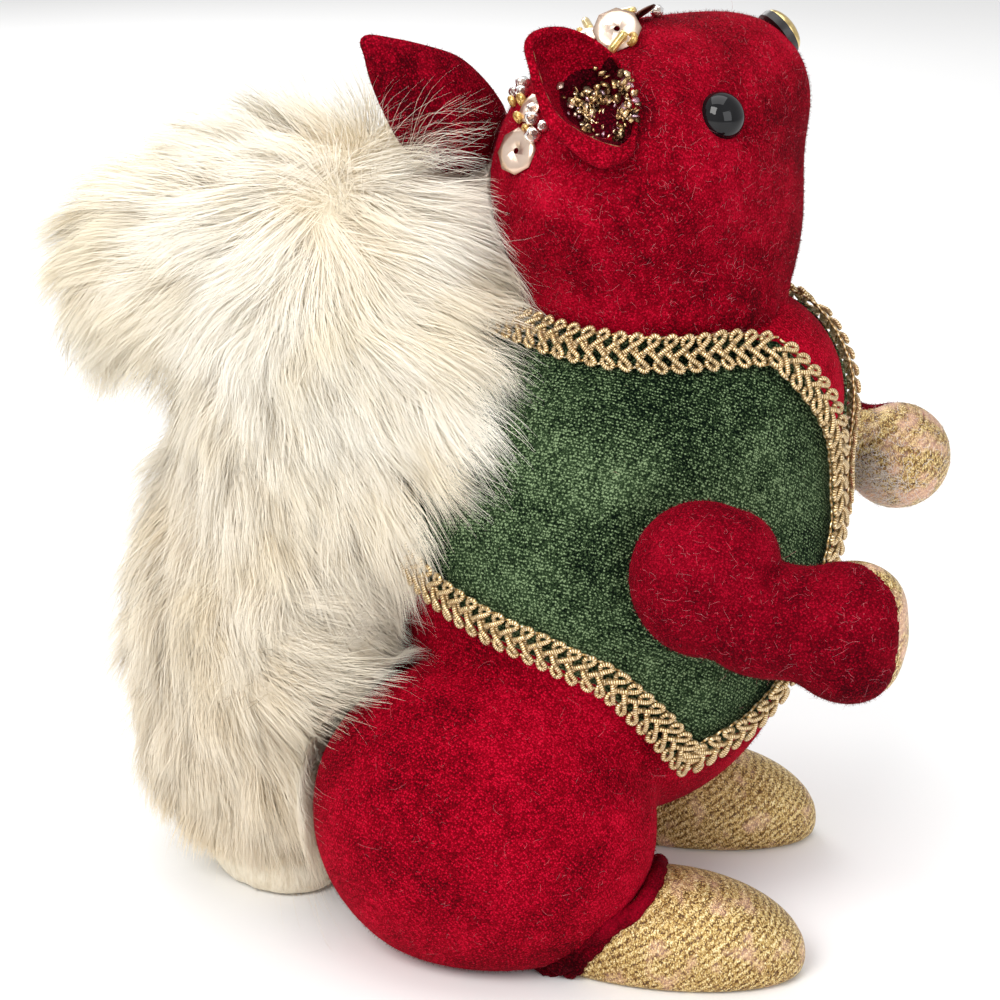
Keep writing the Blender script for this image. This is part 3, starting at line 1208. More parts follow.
# ------------------------------------------------------------------ ears
def closed_curve(P, n):
    """Catmull-Rom loop through the rows of P."""
    m = len(P)
    t = np.arange(n) * m / n
    i = np.floor(t).astype(int)
    f = (t - i)[:, None]
    a, b, c, d = P[(i - 1) % m], P[i % m], P[(i + 1) % m], P[(i + 2) % m]
    return 0.5 * (2 * b + (c - a) * f + (2 * a - 5 * b + 4 * c - d) * f * f + (3 * b - 3 * c + d - a) * f ** 3)


def cup_ear(loop, roll, centre, n, depth, thick, seed, K=96, S=16, lean=0.0):
    """A padded leaf folded into a cup; its rim is rolled, wider where roll says. Returns the mesh and its inside grid."""
    n = unit(n)
    centre = np.array(centre, float)
    L = closed_curve(np.array(loop, float), K)
    r = closed_curve(np.array(roll, float)[:, None], K)[:, 0]
    T = rows(np.roll(L, -1, 0) - np.roll(L, 1, 0))
    E = np.cross(T, n)
    E *= np.sign((E * (L - centre)).sum(1, keepdims=True))
    rings = []
    s_in = np.linspace(0.97, 0.0, S)
    for s in s_in:
        g = math.sin(math.pi / 2 * min(1.0, s * 1.08)) ** 0.85 if s > 0 else 0
        P = L * (1 - s) + centre * s - n * depth * g
        P = P + n * (0.35 * noise3(P, 4.5, seed) * min(1, 4 * s))[:, None] if s > 0 else P
        rings.append(P)
    inside = np.stack(rings[:S], 0)
    for a in np.linspace(0, math.pi, 9)[1:]:
        rings.append(L + E * (r / 2 * (1 - math.cos(a)))[:, None] + n * (0.62 * r ** 0.7 * math.sin(a))[:, None])
    for s in np.linspace(0, 0.97, S)[1:]:
        g = math.sin(math.pi / 2 * s) ** 0.80
        P = (L + E * (r * (1 - s) ** 0.6)[:, None]) * (1 - s) + centre * s - n * (depth + thick) * g + E * (lean * math.sin(math.pi * s))
        rings.append(P + n * (0.4 * noise3(P, 6, seed + 1))[:, None])
    M = len(rings)
    V = np.concatenate(rings)
    i = np.arange(M * K).reshape(M, K)
    F = np.stack([i[:-1], np.roll(i, -1, 1)[:-1], np.roll(i, -1, 1)[1:], i[1:]], -1).reshape(-1, 4)
    caps = []
    for ring, flip in ((0, True), (M - 1, False)):
        V = np.concatenate([V, V[i[ring]].mean(0, keepdims=True)])
        j = len(V) - 1
        t = np.stack([i[ring], np.roll(i[ring], -1), np.full(K, j)], 1)
        caps.append(t[:, ::-1] if flip else t)
    Fs = [F, np.concatenate(caps)]
    vn = vnormals(V, Fs)
    if (vn[i[M - 4]] * (V[i[M - 4]] - centre)).sum() < 0:
        Fs = [q[:, ::-1] for q in Fs]
    return V, Fs, inside, L, E, n


EAR_RIM_R = [(-27.6, -10.7, 163.4), (-28.4, -11.5, 160.3), (-29.2, -13.0, 156.3), (-29.3, -15.1, 152.7), (-28.5, -17.9, 150.4), (-27.6, -20.4, 148.9), (-26.5, -22.8, 147.8), (-25.4, -24.9, 147.3), (-24.3, -26.0, 148.5), (-23.0, -26.3, 151.1), (-22.0, -25.9, 154.2), (-21.3, -24.8, 157.5), (-21.5, -22.5, 160.6), (-22.5, -19.0, 163.3), (-24.2, -15.4, 164.8), (-26.1, -12.4, 164.7)]
EAR_ROLL_R = [1.5, 1.5, 1.8, 2.5, 3.2, 3.9, 4.1, 2.4, 1.2, 0.8, 0.7, 0.7, 0.7, 0.8, 1.0, 1.3]
EAR_RIM_L = [(-11.4, 20.6, 160.6), (-9.0, 16.2, 159.8), (-6.1, 11.2, 158.2), (-3.7, 7.1, 156.4), (-1.7, 4.0, 153.4), (0.1, 1.4, 149.7), (1.3, -0.1, 146.3), (1.8, 0.0, 141.8), (1.2, 2.0, 138.3), (-0.9, 6.4, 136.8), (-4.0, 11.9, 138.7), (-6.3, 15.4, 142.5), (-8.4, 17.9, 148.3), (-9.9, 19.6, 153.6), (-10.9, 20.4, 158.0)]
EARS = {
    "right": cup_ear(EAR_RIM_R, EAR_ROLL_R, (-25.2, -21.7, 152.7), (-0.80, -0.50, 0.33), 6.2, 1.6, 71),
    "left": cup_ear(EAR_RIM_L, [0.8] * 15, (-1.7, 5.8, 145.7), (0.88, 0.46, 0.11), 3.6, 1.6, 83),
}
for side in ("right", "left"):
    eV, eF, inside, L, E, en = EARS[side]
    piece("ear_velvet_" + side, eV, eF, RED if side == "right" else RED_EAR, ("ear_" + side, "ear_lining_" + side), pad=0.35)


def chip_bag(bag, C, A, B, size, rng, tone):
    """Irregular flat flakes: C centres, A and B their plane's axes."""
    n = len(C)
    N = np.cross(A, B)
    k = 5
    ang = (np.arange(k)[None, :] + rng.uniform(-0.3, 0.3, (n, k))) * 2 * np.pi / k
    rad = size[:, None] * rng.uniform(0.6, 1.1, (n, k))
    P = C[:, None] + A[:, None] * (np.cos(ang) * rad)[:, :, None] + B[:, None] * (np.sin(ang) * rad)[:, :, None]
    th = (size * 0.28)[:, None, None] * N[:, None]
    V = np.concatenate([P + th / 2, P - th / 2], 1)
    idx = np.arange(n * 2 * k).reshape(n, 2, k)
    top = idx[:, 0]
    bot = idx[:, 1][:, ::-1]
    sideq = np.stack([idx[:, 0], idx[:, 1], np.roll(idx[:, 1], -1, 1), np.roll(idx[:, 0], -1, 1)], -1).reshape(-1, 4)
    uv = np.stack([np.repeat(tone, 2 * k), np.full(n * 2 * k, 0.5)], 1)
    bag.add(V.reshape(-1, 3), [top, bot, sideq], uv)


def glitter_mat(name):
    M = Mat(name)
    uvn = M.n("ShaderNodeUVMap")
    uvn.uv_map = "OFBake"
    sep = M.n("ShaderNodeSeparateXYZ")
    M.link(uvn.outputs[0], sep.inputs[0])
    n = M.noise(2500.0, 2.0)
    t = M.math("ADD", sep.outputs[0], M.math("MULTIPLY", M.math("SUBTRACT", n, 0.5), 0.12))
    col = M.ramp(t, [(0.05, (0.035, 0.018, 0.010)), (0.25, (0.30, 0.17, 0.07)), (0.50, (0.68, 0.47, 0.22)), (0.72, (0.93, 0.78, 0.56)), (0.80, (0.42, 0.17, 0.22)), (0.95, (0.60, 0.42, 0.48))])
    M.set(Base_Color=col, Metallic=0.85, Roughness=0.22, Specular_IOR_Level=0.6)
    M.set(Normal=M.bump(n, 0.25, 0.00008))
    return M.m


GLITTER = glitter_mat("glitter_chips")
rngg = np.random.default_rng(21)
# the two heaps of chips in each ear: where, how wide, share
HEAPS = {
    "right": [((-19.9, -18.4, 153.4), 2.3, 0.36), ((-21.2, -24.3, 152.6), 2.4, 0.40), ((-20.8, -22.0, 149.9), 2.2, 0.16), ((-21.8, -25.2, 156.6), 1.5, 0.08)],
    "left": [((0.2, 6.0, 142.5), 2.6, 0.6), ((-1.4, 8.5, 147.5), 2.6, 0.4)],
}
for side in ("right", "left"):
    eV, eF, inside, L, E, en = EARS[side]
    S_, K_ = inside.shape[:2]
    up = unit(L[:4].mean(0) - L[K_ // 2]) if side == "right" else unit(L[0] - L[K_ // 2])
    low = (inside - L[K_ // 2]) @ up / ((L - L[K_ // 2]) @ up).max()
    # the shaded bottom of the cup
    i = np.arange(S_ * K_).reshape(S_, K_)
    q = np.stack([i[:-1], np.roll(i, -1, 1)[:-1], np.roll(i, -1, 1)[1:], i[1:]], -1).reshape(-1, 4)
    grid = inside.reshape(-1, 3)
    far = np.min([np.linalg.norm(grid - np.array(c0), axis=1) - (5.3 if side == "right" else 4.6) for c0, wide, share in HEAPS[side]], axis=0)
    # the patch dives under the velvet all round its edge
    h = np.clip(-far / 0.8, -1, 1)
    q = q[(h > -1)[q].all(1)]
    if len(q):
        used = np.unique(q)
        new = np.full(S_ * K_, -1)
        new[used] = np.arange(len(used))
        gn = vnormals(grid, [np.stack([i[:-1], np.roll(i, -1, 1)[:-1], np.roll(i, -1, 1)[1:], i[1:]], -1).reshape(-1, 4)])
        gn = gn * np.sign((gn @ en).sum())
        piece("ear_hollow_" + side, (grid + gn * (0.20 * h)[:, None])[used], new[q], EAR_HOLLOW)
    grid = inside.reshape(-1, 3)
    C = []
    for c0, wide, share in HEAPS[side]:
        m = int(300 * share)
        w = np.exp(-((grid - np.array(c0)) ** 2).sum(1) / (2 * wide ** 2)) + 1e-12
        C.append(grid[rngg.choice(len(grid), m, p=w / w.sum())] + rngg.normal(size=(m, 3)) * 0.35)
    C = np.concatenate(C)
    if side == "right":
        C = C[np.linalg.norm((C - np.array((-21.0, -21.6, 151.6))) * (1.0, 1.0, 0.55), axis=1) > 1.5]
    m = len(C)
    A = rows(rngg.normal(size=(m, 3)) * 0.55 + np.cross(en, up))
    B = rows(np.cross(rows(rngg.normal(size=(m, 3)) * 0.5 + en), A))
    C = C + en * rngg.uniform(0.3, 1.6, m)[:, None]
    bag = Bag()
    chip_bag(bag, C, A, B, rngg.uniform(0.42, 1.02, m), rngg, rngg.choice([0.08, 0.25, 0.4, 0.5, 0.62, 0.72, 0.85, 0.95], m, p=[0.14, 0.18, 0.20, 0.20, 0.14, 0.06, 0.05, 0.03]) + rngg.uniform(-0.05, 0.05, m))
    bag.put("ear_glitter_chips_" + side, GLITTER, ("ear_glitter_" + side,), with_uv=True, smooth=False)

# dark velvet where the head closes the bottom of the near cup
cav = np.array((-21.0, -21.6, 151.6))
cV, cF = take(hV2, hF2, lambda c: np.linalg.norm(c - cav, axis=1) < 5.2)
if sum(len(q) for q in cF):
    h = np.clip((4.3 - np.linalg.norm(cV - cav, axis=1)) / 0.8, -1, 1)
    piece("ear_hollow_floor_right", cV + vnormals(cV, cF) * (0.16 * h)[:, None], cF, EAR_HOLLOW)

# gold cord along the inner seam of each ear
CORD_GOLD = plain("cord_gold", (0.52, 0.36, 0.17), 0.35, 0.8)
for side in ("right", "left"):
    eV, eF, inside, L, E, en = EARS[side]
    K_ = len(L)
    span = L[2: int(K_ * 0.44)] if side == "right" else L[int(K_ * 0.55): int(K_ * 0.98)]
    Ec = E[2: int(K_ * 0.44)] if side == "right" else E[int(K_ * 0.55): int(K_ * 0.98)]
    path, _ = resample(span + Ec * 0.15 + en * 0.12, 0.5)
    path = path + en * (0.10 * np.sin(np.arange(len(path)) * 0.9))[:, None]
    a = tube(path, 0.21, 6, np.repeat(en[None], len(path), 0))
    bag = Bag()
    bag.add(a[0], [a[1]] + a[2], a[3])
    bag.put("ear_seam_cord_" + side, CORD_GOLD, ("ear_cord_" + side,))

# ------------------------------------------------------------------ sequins, beads and crystals of the crown
def frame_of(n, hint=(0, 0, 1)):
    n = unit(n)
    a = np.cross(hint, n)
    if np.linalg.norm(a) < 0.1:
        a = np.cross((1, 0, 0), n)
    a = unit(a)
    return a, np.cross(n, a), n


def sequin(bag, c, n, r, turn=0.0, tone=0.5, dish=0.2):
    """An eight-cornered paillette: a flat middle with a hole, and a rim of bevelled facets."""
    a, b, n = frame_of(n)
    c = np.array(c, float)
    k = 8
    th = 0.16
    prof = [(0.55, 0.0), (r * 0.70, 0.0), (r * 1.0, -dish)]
    rings = []
    for q, z in prof + [(q, z - th) for q, z in prof[::-1]]:
        an = turn + np.arange(k) * 2 * np.pi / k + (np.pi / k if abs(q - r * 0.70) < 1e-9 else 0)
        rings.append(c + np.outer(np.cos(an), a) * q + np.outer(np.sin(an), b) * q + n * z)
    V = np.concatenate(rings)
    M = len(rings)
    i = np.arange(M * k).reshape(M, k)
    F = []
    for m in range(M):
        p, q = i[m], i[(m + 1) % M]
        F.append(np.stack([p, np.roll(p, -1), np.roll(q, -1)], 1))
        F.append(np.stack([p, np.roll(q, -1), q], 1))
    tone_v = np.repeat([tone, tone, tone - 0.35, tone - 0.35, tone - 0.2, tone - 0.2], k)
    bag.add(V, [np.concatenate(F)], np.stack([tone_v, np.full(len(V), 0.5)], 1))


def seed_bead(bag, c, axis, r, hole=0.38, tone=0.5, seg=16, sides=10, long=1.0):
    a, b, n = frame_of(axis)
    c = np.array(c, float)
    R0 = r * (1 + hole) / 2
    r0 = r * (1 - hole) / 2
    A = np.linspace(0, 2 * np.pi, seg, endpoint=False)
    Bq = np.linspace(0, 2 * np.pi, sides, endpoint=False)
    rad = R0 + r0 * np.cos(Bq)
    V = c + (np.cos(A)[:, None, None] * a + np.sin(A)[:, None, None] * b) * rad[None, :, None] + n * (r0 * 1.35 * long * np.sin(Bq))[None, :, None]
    i = np.arange(seg * sides).reshape(seg, sides)
    F = np.stack([i, np.roll(i, -1, 0), np.roll(np.roll(i, -1, 0), -1, 1), np.roll(i, -1, 1)], -1).reshape(-1, 4)
    bag.add(V.reshape(-1, 3), F, np.stack([np.full(seg * sides, tone)] * 2, 1))


def crystal(bag, c, axis, r, tone=0.5, k=8):
    """Faceted bicone bead."""
    a, b, n = frame_of(axis)
    c = np.array(c, float)
    rings = []
    for q, z, h in ((0.30, 1.0, 0), (0.98, 0.28, 0.5), (0.98, -0.28, 0), (0.30, -1.0, 0.5)):
        an = (np.arange(k) + h) * 2 * np.pi / k
        rings.append(c + (np.outer(np.cos(an), a) + np.outer(np.sin(an), b)) * (q * r) + n * (z * r))
    V = np.concatenate(rings)
    i = np.arange(4 * k).reshape(4, k)
    F = []
    for m in range(3):
        p, q = i[m], i[m + 1]
        F += [np.stack([p, np.roll(p, -1), q], 1), np.stack([np.roll(p, -1), np.roll(q, -1), q], 1)]
    bag.add(V, [np.concatenate(F), i[0][::-1][None], i[3][None]], np.stack([np.full(len(V), tone)] * 2, 1))


def on_head(p, lift=0.0):
    p = project(f_head, np.array([p], float), 6)
    n = rows(grad(f_head, p))
    return p[0] + n[0] * lift, n[0]


VIEW = np.array([0.922, 0.179, -0.342])
seq, gold, clear, bug = Bag(), Bag(), Bag(), Bag()
# the large ones that show, then smaller ones down the crown
c, n = on_head((-18.5, -7.0, 144.2), 0.9)
sequin(seq, c, n * 0.9 - VIEW * 0.35, 4.0, 0.2, 0.72)
c, n = on_head((-8.6, -22.2, 161.2), 1.6)
sequin(seq, c + np.array([-0.5, 0.4, 0.4]), -VIEW * 0.80 + n * 0.55, 4.1, 0.1, 0.78)
c, n = on_head((-3.5, -21.0, 163.0), 1.2)
sequin(seq, c, np.cross(VIEW, (0.30, -0.86, 0.42)) * -1 + np.array([0, 0, 0.2]), 3.7, 0.3, 0.22, 0.3)
c, n = on_head((-1.8, -24.0, 163.6), 1.4)
sequin(seq, c, np.cross(VIEW, (0.25, -0.80, 0.50)) * -1, 3.4, 0.0, 0.18, 0.3)
c, n = on_head((-6.0, -15.5, 161.0), 1.0)
sequin(seq, c, n - VIEW * 0.1, 3.3, 0.2, 0.80)
c, n = on_head((-15.8, -8.0, 151.0), 0.9)
sequin(seq, c, n - VIEW * 0.3 + np.array([0, 0.3, 0]), 2.6, 0.4, 0.84)
for p, r in (((-13.0, -5.4, 152.3), 1.25), ((-15.2, -6.2, 149.2), 1.15), ((-10.6, -24.2, 161.4), 1.3), ((-9.0, -4.2, 150.5), 1.1), ((-16.9, -9.0, 147.2), 0.9), ((-2.6, -14.0, 161.5), 1.1), ((0.8, -18.0, 162.8), 1.1)):
    c, n = on_head(p, r * 0.75)
    seed_bead(gold, c, np.cross(n, VIEW) + 0.6 * n, r, 0.34, 0.5)
for p, r in (((-8.0, -5.8, 153.3), 1.35), ((-10.4, -6.6, 151.9), 1.3), ((-6.5, -4.0, 151.8), 1.15), ((-17.9, -9.4, 149.4), 1.35), ((-19.6, -10.0, 147.0), 1.4), ((-16.8, -8.6, 151.2), 1.1), ((-19.9, -11.3, 148.8), 1.0), ((-4.9, -12.5, 160.0), 1.2), ((2.0, -26.5, 165.2), 1.2)):
    c, n = on_head(p, r * 0.8)
    crystal(clear, c, n + 0.8 * rngg.normal(size=3), r, rngg.uniform(0, 1))
for p, ax in (((-11.2, -22.1, 160.6), (0.20, -0.55, 0.75)), ((-1.0, -15.5, 162.0), (0.7, 0.3, 0.2)), ((3.5, -21.0, 163.6), (0.4, 0.7, -0.2))):
    c, n = on_head(p, 1.2)
    ax = unit(ax)
    path = np.array([c - ax * 2.1 + (2 * 2.1 * t) * ax for t in np.linspace(0, 1, 9)])
    a = tube(path, 0.78 * np.array([0.86, 0.98, 1, 1, 1, 1, 1, 0.98, 0.86]), 12, np.repeat(unit(np.cross(ax, VIEW))[None], 9, 0))
    bug.add(a[0], [a[1]] + a[2], a[3])
SEQ_M = Mat("sequin_foil")
uvn = SEQ_M.n("ShaderNodeUVMap")
uvn.uv_map = "OFBake"
sep = SEQ_M.n("ShaderNodeSeparateXYZ")
SEQ_M.link(uvn.outputs[0], sep.inputs[0])
sn = SEQ_M.noise(500.0, 2.0)
st = SEQ_M.math("ADD", sep.outputs[0], SEQ_M.math("MULTIPLY", SEQ_M.math("SUBTRACT", sn, 0.5), 0.25))
SEQ_M.set(Base_Color=SEQ_M.ramp(st, [(0.10, (0.10, 0.045, 0.030)), (0.32, (0.33, 0.16, 0.11)), (0.55, (0.76, 0.56, 0.43)), (0.80, (0.86, 0.68, 0.56))]), Metallic=0.85, Roughness=0.30, Specular_IOR_Level=0.6)
SEQ_M.set(Normal=SEQ_M.bump(sn, 0.12, 0.0002))
seq.put("crown_sequins", SEQ_M.m, ("sequins",), with_uv=True, smooth=False)


def glass_mat(name, col, rough, trans, metallic=0.0):
    M = Mat(name)
    n = M.noise(700.0, 3.0)
    c1 = tuple(x * 0.62 for x in col)
    M.set(Base_Color=M.ramp(n, [(0.35, c1), (0.62, col)]), Roughness=rough, Transmission_Weight=trans, IOR=1.52, Metallic=metallic, Specular_IOR_Level=0.6, Coat_Weight=0.3)
    return M.m


gold.put("crown_gold_beads", glass_mat("lined_gold_glass", (0.95, 0.60, 0.16), 0.08, 0.45, 0.35), ("gold_seed_beads",))
clear.put("crown_crystals", glass_mat("blush_crystal", (0.88, 0.72, 0.62), 0.04, 0.92), ("clear_glass_beads",), smooth=False)
bug.put("crown_bugles", glass_mat("lined_gold_bugle", (0.95, 0.68, 0.22), 0.12, 0.3, 0.5), ("gold_bugle_beads",))

# ------------------------------------------------------------------ ankle gathers
def ray_out(o, D, f, far=40.0):
    """Outermost point of f = 0 along each direction from o."""
    r = np.full(len(D), far)
    P = o + D * r[:, None]
    for _ in range(60):
        r = r - 0.8 * np.maximum(f(P), 0)
        P = o + D * r[:, None]
    return P


GATHERS = {}
for s, side in ((-1, "right"), (1, "left")):
    N0 = unit((0, 18.0, 16.0))
    cy = -20.2 if s < 0 else -19.2
    o = np.array([FOOT_C[s][0], cy - 2.0, 1.5])
    ax1 = np.array([1.0, 0, 0])
    ax2 = unit(np.cross(N0, ax1))
    bag = Bag()
    for off, rad, lift, sd in ((2.2, 1.5, 0.2, 1), (4.6, 2.2, 0.8, 2), (7.2, 2.4, 1.0, 3)):
        nph = 220
        ph = np.linspace(0, 2 * np.pi, nph, endpoint=False)
        wob = noise3(np.stack([np.cos(ph), np.sin(ph), 0 * ph], 1) * 6, 2.2, 40 + sd)
        O = o + N0 * off + N0[None] * (0.6 * wob)[:, None]
        D = np.cos(ph)[:, None] * ax1 + np.sin(ph)[:, None] * ax2
        P = ray_out(O, D, f_foot(s))
        P = P + D * lift
        P[:, 2] = np.maximum(P[:, 2], 1.4)
        pleat = 1 + 0.10 * np.sin(ph * 31 + 3 * wob) + 0.30 * noise3(np.stack([np.cos(ph), np.sin(ph), 0 * ph], 1) * 9, 1.6, 50 + sd)
        T = rows(np.roll(P, -1, 0) - np.roll(P, 1, 0))
        B = np.cross(T, N0)
        B = rows(B)
        Nn_ = np.cross(B, T)
        sides = 14
        a = np.linspace(0, 2 * np.pi, sides, endpoint=False)
        ring = P[:, None] + (np.cos(a)[None, :, None] * B[:, None] * 0.85 + np.sin(a)[None, :, None] * Nn_[:, None]) * (rad * pleat)[:, None, None]
        i = np.arange(nph * sides).reshape(nph, sides)
        F = np.stack([i, np.roll(i, -1, 1), np.roll(np.roll(i, -1, 0), -1, 1), np.roll(i, -1, 0)], -1).reshape(-1, 4)
        Q = ring.reshape(-1, 3)
        Q[:, 2] = np.maximum(Q[:, 2], 0.08)
        bag.add(Q, F)
    bag.put("ankle_gather_" + side, RED_DARK, ("ankle_cuff_" + side,))
    GATHERS[side] = (np.concatenate(bag.V), np.concatenate([q for v in bag.Q.values() for q in v]))


# ------------------------------------------------------------------ short pile that breaks up the outlines, and stray fibres
def fuzz(name, V, F, n, length, width, mat, rng, body="body", lay=0.6, mask=None):
    P, _ = sample_surface(V, F, n, rng, mask)
    vn = vnormals(V, F)
    from mathutils import kdtree
    kd = kdtree.KDTree(len(V))
    for k, p in enumerate(V):
        kd.insert(p, k)
    kd.balance()
    near = np.array([kd.find(p)[1] for p in P])
    N = vn[near]
    R = rng.normal(size=P.shape)
    D = rows(N + lay * R)
    Sd = rows(np.cross(D, rng.normal(size=P.shape)))
    L = length * rng.uniform(0.5, 1.3, len(P))
    w = width * rng.uniform(0.7, 1.3, len(P))
    A = P - N * 0.12
    Q = np.stack([A + Sd * w[:, None] / 2, A - Sd * w[:, None] / 2, A + D * L[:, None]], 1).reshape(-1, 3)
    Q[:, 2] = np.maximum(Q[:, 2], 0.02)
    i = np.arange(len(Q)).reshape(-1, 3)
    u = rng.random(len(P))
    uv = np.stack([np.repeat(u, 3), np.tile([0, 0, 1.0], len(P))], 1)
    nq = np.repeat(rows(N + 0.35 * rows(R)), 3, 0)
    return piece(name, Q, i, mat, (), body, True, uv, normals=nq)


def fibre_mat(name, root, tip, spread=0.25):
    M = Mat(name)
    uvn = M.n("ShaderNodeUVMap")
    uvn.uv_map = "OFBake"
    sep = M.n("ShaderNodeSeparateXYZ")
    M.link(uvn.outputs[0], sep.inputs[0])
    comb = M.n("ShaderNodeCombineXYZ")
    M.link(sep.outputs[0], comb.inputs[0])
    tone = M.noise(41.0, 2.0, 0.6, vec=comb.outputs[0])
    c = M.ramp(sep.outputs[1], [(0.0, root), (1.0, tip)])
    c = M.mix(1.0, c, M.ramp(tone, [(0.3, (1 - spread,) * 3), (0.7, (1, 1, 1))]), "MULTIPLY")
    M.set(Base_Color=c, Roughness=0.8, Specular_IOR_Level=0.1)
    return M.m


FUZZ_RED = fibre_mat("red_pile_fibres", (0.20, 0.0, 0.012), (0.50, 0.012, 0.045), 0.5)
FUZZ_GREEN = fibre_mat("green_pile_fibres", (0.008, 0.022, 0.010), (0.060, 0.130, 0.060), 0.5)
STRAY = fibre_mat("pale_stray_fibres", (0.50, 0.06, 0.09), (0.72, 0.32, 0.34), 0.5)
rngz = np.random.default_rng(8)
QF = 1.0
armsV = {}


def strays(name, surfaces, n, rng, body="body", mat=None, mask=None, wide=0.019):
    """Thin curly hairs caught on the cloth: surfaces is a list of (V, F, f, share)."""
    bag = Bag()
    for V, F, f, share in surfaces:
        m = int(n * share)
        P, _ = sample_surface(V, F, m, rng, mask)
        N = rows(grad(f, P))
        T = rows(np.cross(N, rng.normal(size=P.shape)))
        L = rng.uniform(0.4, 1.7, m) * rng.choice([1, 1, 1, 1, 1, 1, 1, 2.4], m)
        seg = 5
        path = [P - N * 0.05]
        d = rows(T + N * rng.uniform(0.05, 0.9, m)[:, None])
        bend = rng.normal(size=P.shape) * 0.42
        for k in range(seg):
            p = path[-1] + d * (L / seg)[:, None]
            path.append(p)
            d = rows(d + bend + rng.normal(size=P.shape) * 0.12 - N * 0.22)
        path = np.stack(path, 1)
        # never under the cloth
        q = path.reshape(-1, 3)
        dist = f(q)
        g = rows(grad(f, q))
        q = q + g * np.maximum(0.22 - dist, 0)[:, None]
        path = q.reshape(m, seg + 1, 3)
        Tt = np.gradient(path, axis=1)
        sd = np.cross(Tt, N[:, None] + 0.3)
        sd /= np.maximum(np.linalg.norm(sd, axis=2, keepdims=True), 1e-9)
        w = wide * (1 - 0.5 * np.linspace(0, 1, seg + 1))[None, :, None]
        V2 = np.stack([path + sd * w, path - sd * w], 2).reshape(-1, 3)
        V2[:, 2] = np.maximum(V2[:, 2], 0.03)
        i = np.arange(m * (seg + 1) * 2).reshape(m, seg + 1, 2)
        F2 = np.stack([i[:, :-1, 0], i[:, 1:, 0], i[:, 1:, 1], i[:, :-1, 1]], -1).reshape(-1, 4)
        uv = np.stack([np.repeat(rng.random(m), (seg + 1) * 2), np.tile(np.repeat(np.linspace(0, 1, seg + 1), 2), m)], 1)
        bag.add(V2, F2, uv)
    bag.put(name, mat or STRAY, (), body, with_uv=True)


off_vest = lambda c: np.where((c[:, 2] > np.interp(c[:, 1], [-40, -20, 0, 20, 30], [42, 60, 66, 74, 80])) & (c[:, 2] < 111) & (np.abs(c[:, 0]) > 12), 0.02, 1.0)
fuzz("body_pile", lowV2, lowF2, int(60000 * QF), 0.62, 0.085, FUZZ_RED, rngz, mask=off_vest)
fuzz("head_pile", hV2, hF2, int(52000 * QF), 0.62, 0.085, FUZZ_RED, rngz)
for side in ("right", "left"):
    fuzz("ear_pile_" + side, EARS[side][0], EARS[side][1], int(12000 * QF), 0.60, 0.08, FUZZ_RED, rngz)
    fuzz("arm_pile_" + side, ARM_MESH[side][0], ARM_MESH[side][1], int(14000 * QF), 0.60, 0.08, FUZZ_RED, rngz, body="arm_" + side)
for side in ("right", "left"):
    fuzz("ankle_pile_" + side, *GATHERS[side], int(9000 * QF), 0.55, 0.08, FUZZ_RED, rngz)
fuzz("vest_pile", VPd, VF, int(50000 * QF), 0.50, 0.075, FUZZ_GREEN, rngz)
strays("strays_body", [(lowV2, lowF2, f_lower, 0.35), (hV2, hF2, f_head, 0.65)], 6500, rngz)
for s, side in ((-1, "right"), (1, "left")):
    strays("strays_arm_" + side, [(ARM_MESH[side][0], ARM_MESH[side][1], f_arm(s), 1.0)], 700, rngz, "arm_" + side)
LINT = fibre_mat("white_lint", (0.80, 0.70, 0.64), (0.95, 0.92, 0.90), 0.2)
near_lint = lambda c: np.exp(-((c - np.array([34.0, -64.6, 73.0])) ** 2).sum(1) / (2 * 3.6 ** 2)) + 0.03
strays("lint_paw_left", [(PALM_MESH["left"][0], PALM_MESH["left"][1], f_arm(1), 1.0)], 1500, rngz, "arm_left", LINT, near_lint, 0.048)
strays("strays_paw_left", [(PALM_MESH["left"][0], PALM_MESH["left"][1], f_arm(1), 1.0)], 260, rngz, "arm_left", wide=0.03)


# ------------------------------------------------------------------ materials of the CAD pieces that stay
def dress(node, mat):
    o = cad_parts[node]
    for sl in o.material_slots:
        sl.material = mat
    if not o.material_slots:
        o.data.materials.append(mat)


EYE_MAT = Mat("black_eye")
EYE_MAT.set(Base_Color=EYE_MAT.ramp(EYE_MAT.noise(300.0), [(0.3, (0.002, 0.002, 0.003)), (0.7, (0.006, 0.006, 0.007))]), Roughness=0.035, Specular_IOR_Level=0.34)
for n in ("eye_right", "eye_left"):
    dress(n, EYE_MAT.m)
dress("nose_dome", plain("nose_gold", (0.80, 0.60, 0.26), 0.22, 1.0))
dress("nose_flange", plain("nose_black", (0.012, 0.011, 0.011), 0.35))



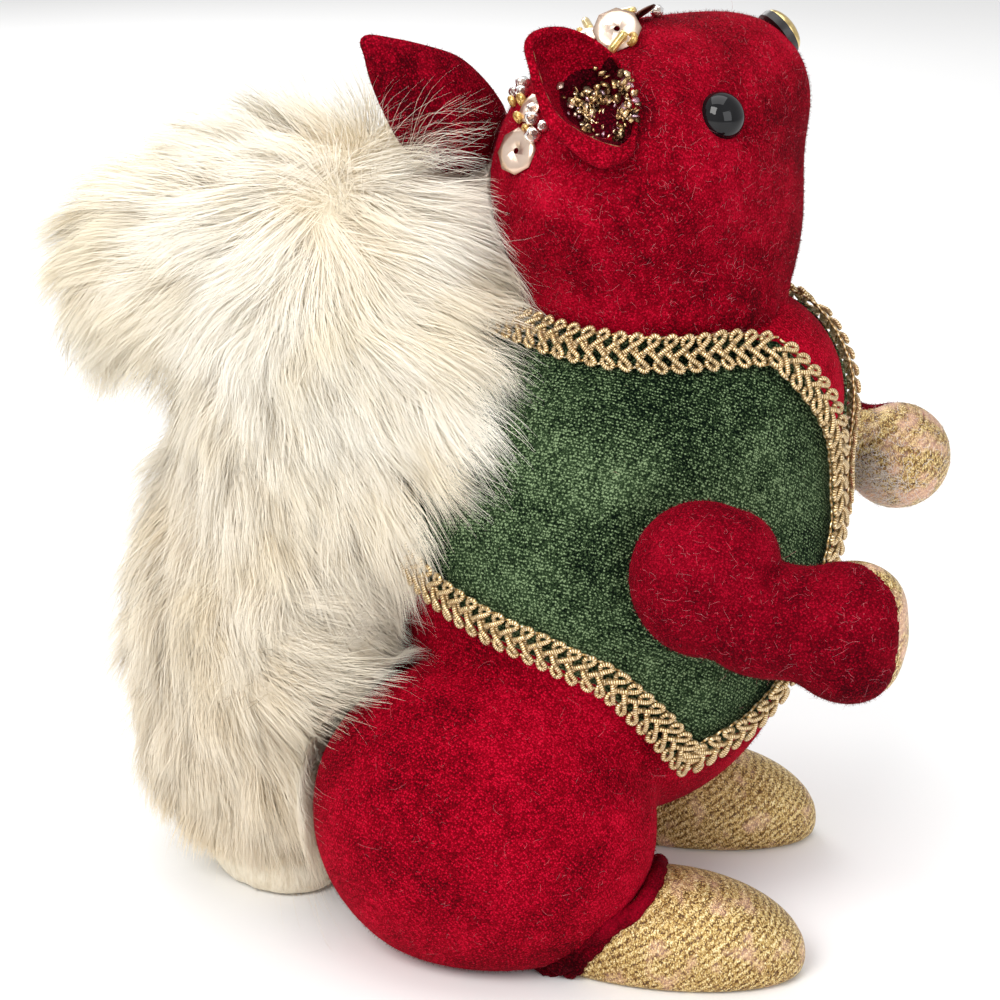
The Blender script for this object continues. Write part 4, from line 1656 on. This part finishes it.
def grained(name, c1, c2, scale, rough, metallic=0.0, stretch=(1, 1, 1), depth=0.00015, **kw):
    M = Mat(name)
    n = M.noise(scale, 3.0, 0.6, 0.2, vec=M.mapped((0, 0, 0), stretch))
    big = M.noise(scale / 9.0, 2.0, 0.5)
    t = M.math("ADD", M.math("MULTIPLY", n, 0.7), M.math("MULTIPLY", big, 0.3))
    M.set(Base_Color=M.ramp(t, [(0.36, c1), (0.64, c2)]), Roughness=rough, Metallic=metallic, **kw)
    M.set(Normal=M.bump(n, 0.4, depth))
    return M.m


WADDING = grained("cotton_wadding", (0.80, 0.79, 0.75), (0.95, 0.94, 0.91), 700.0, 0.95, depth=0.0004, Sheen_Weight=0.3)
CARD = grained("grey_card", (0.34, 0.29, 0.23), (0.50, 0.44, 0.36), 1600.0, 0.9, stretch=(1, 0.3, 1))
NYLON = grained("black_nylon", (0.010, 0.010, 0.011), (0.030, 0.030, 0.032), 900.0, 0.5)
WIRE = grained("galvanised_wire", (0.38, 0.39, 0.40), (0.62, 0.63, 0.64), 1200.0, 0.38, 1.0)
THREAD = grained("waxed_thread", (0.16, 0.005, 0.012), (0.34, 0.020, 0.032), 2600.0, 0.6, stretch=(0.3, 1, 1))
CALICO = grained("bag_calico", (0.60, 0.56, 0.47), (0.80, 0.76, 0.67), 2200.0, 0.9, stretch=(1, 1, 0.4))
BOARD = grained("disc_board", (0.25, 0.17, 0.10), (0.42, 0.31, 0.20), 1300.0, 0.8)
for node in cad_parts:
    if "stuffing" in node:
        dress(node, WADDING)
    elif node.startswith("sole_board"):
        dress(node, CARD)
    elif "washer" in node:
        dress(node, NYLON)
    elif node.startswith("arm_disc"):
        dress(node, BOARD)
    elif node == "tail_wire":
        dress(node, WIRE)
    elif node == "arm_joint_thread":
        dress(node, THREAD)
    elif node == "pellet_bag":
        dress(node, CALICO)

# ------------------------------------------------------------------ floor
fl = add_object("floor", np.array([[-4000, -4000, 0], [4000, -4000, 0], [4000, 4000, 0], [-4000, 4000, 0]]), np.array([[0, 1, 2, 3]]), None)
FM = Mat("floor_paper")
FM.set(Base_Color=FM.ramp(FM.noise(3.0), [(0.3, (0.90, 0.90, 0.90)), (0.7, (0.93, 0.93, 0.93))]), Roughness=0.9, Specular_IOR_Level=0.1)
fl.data.materials.append(FM.m)
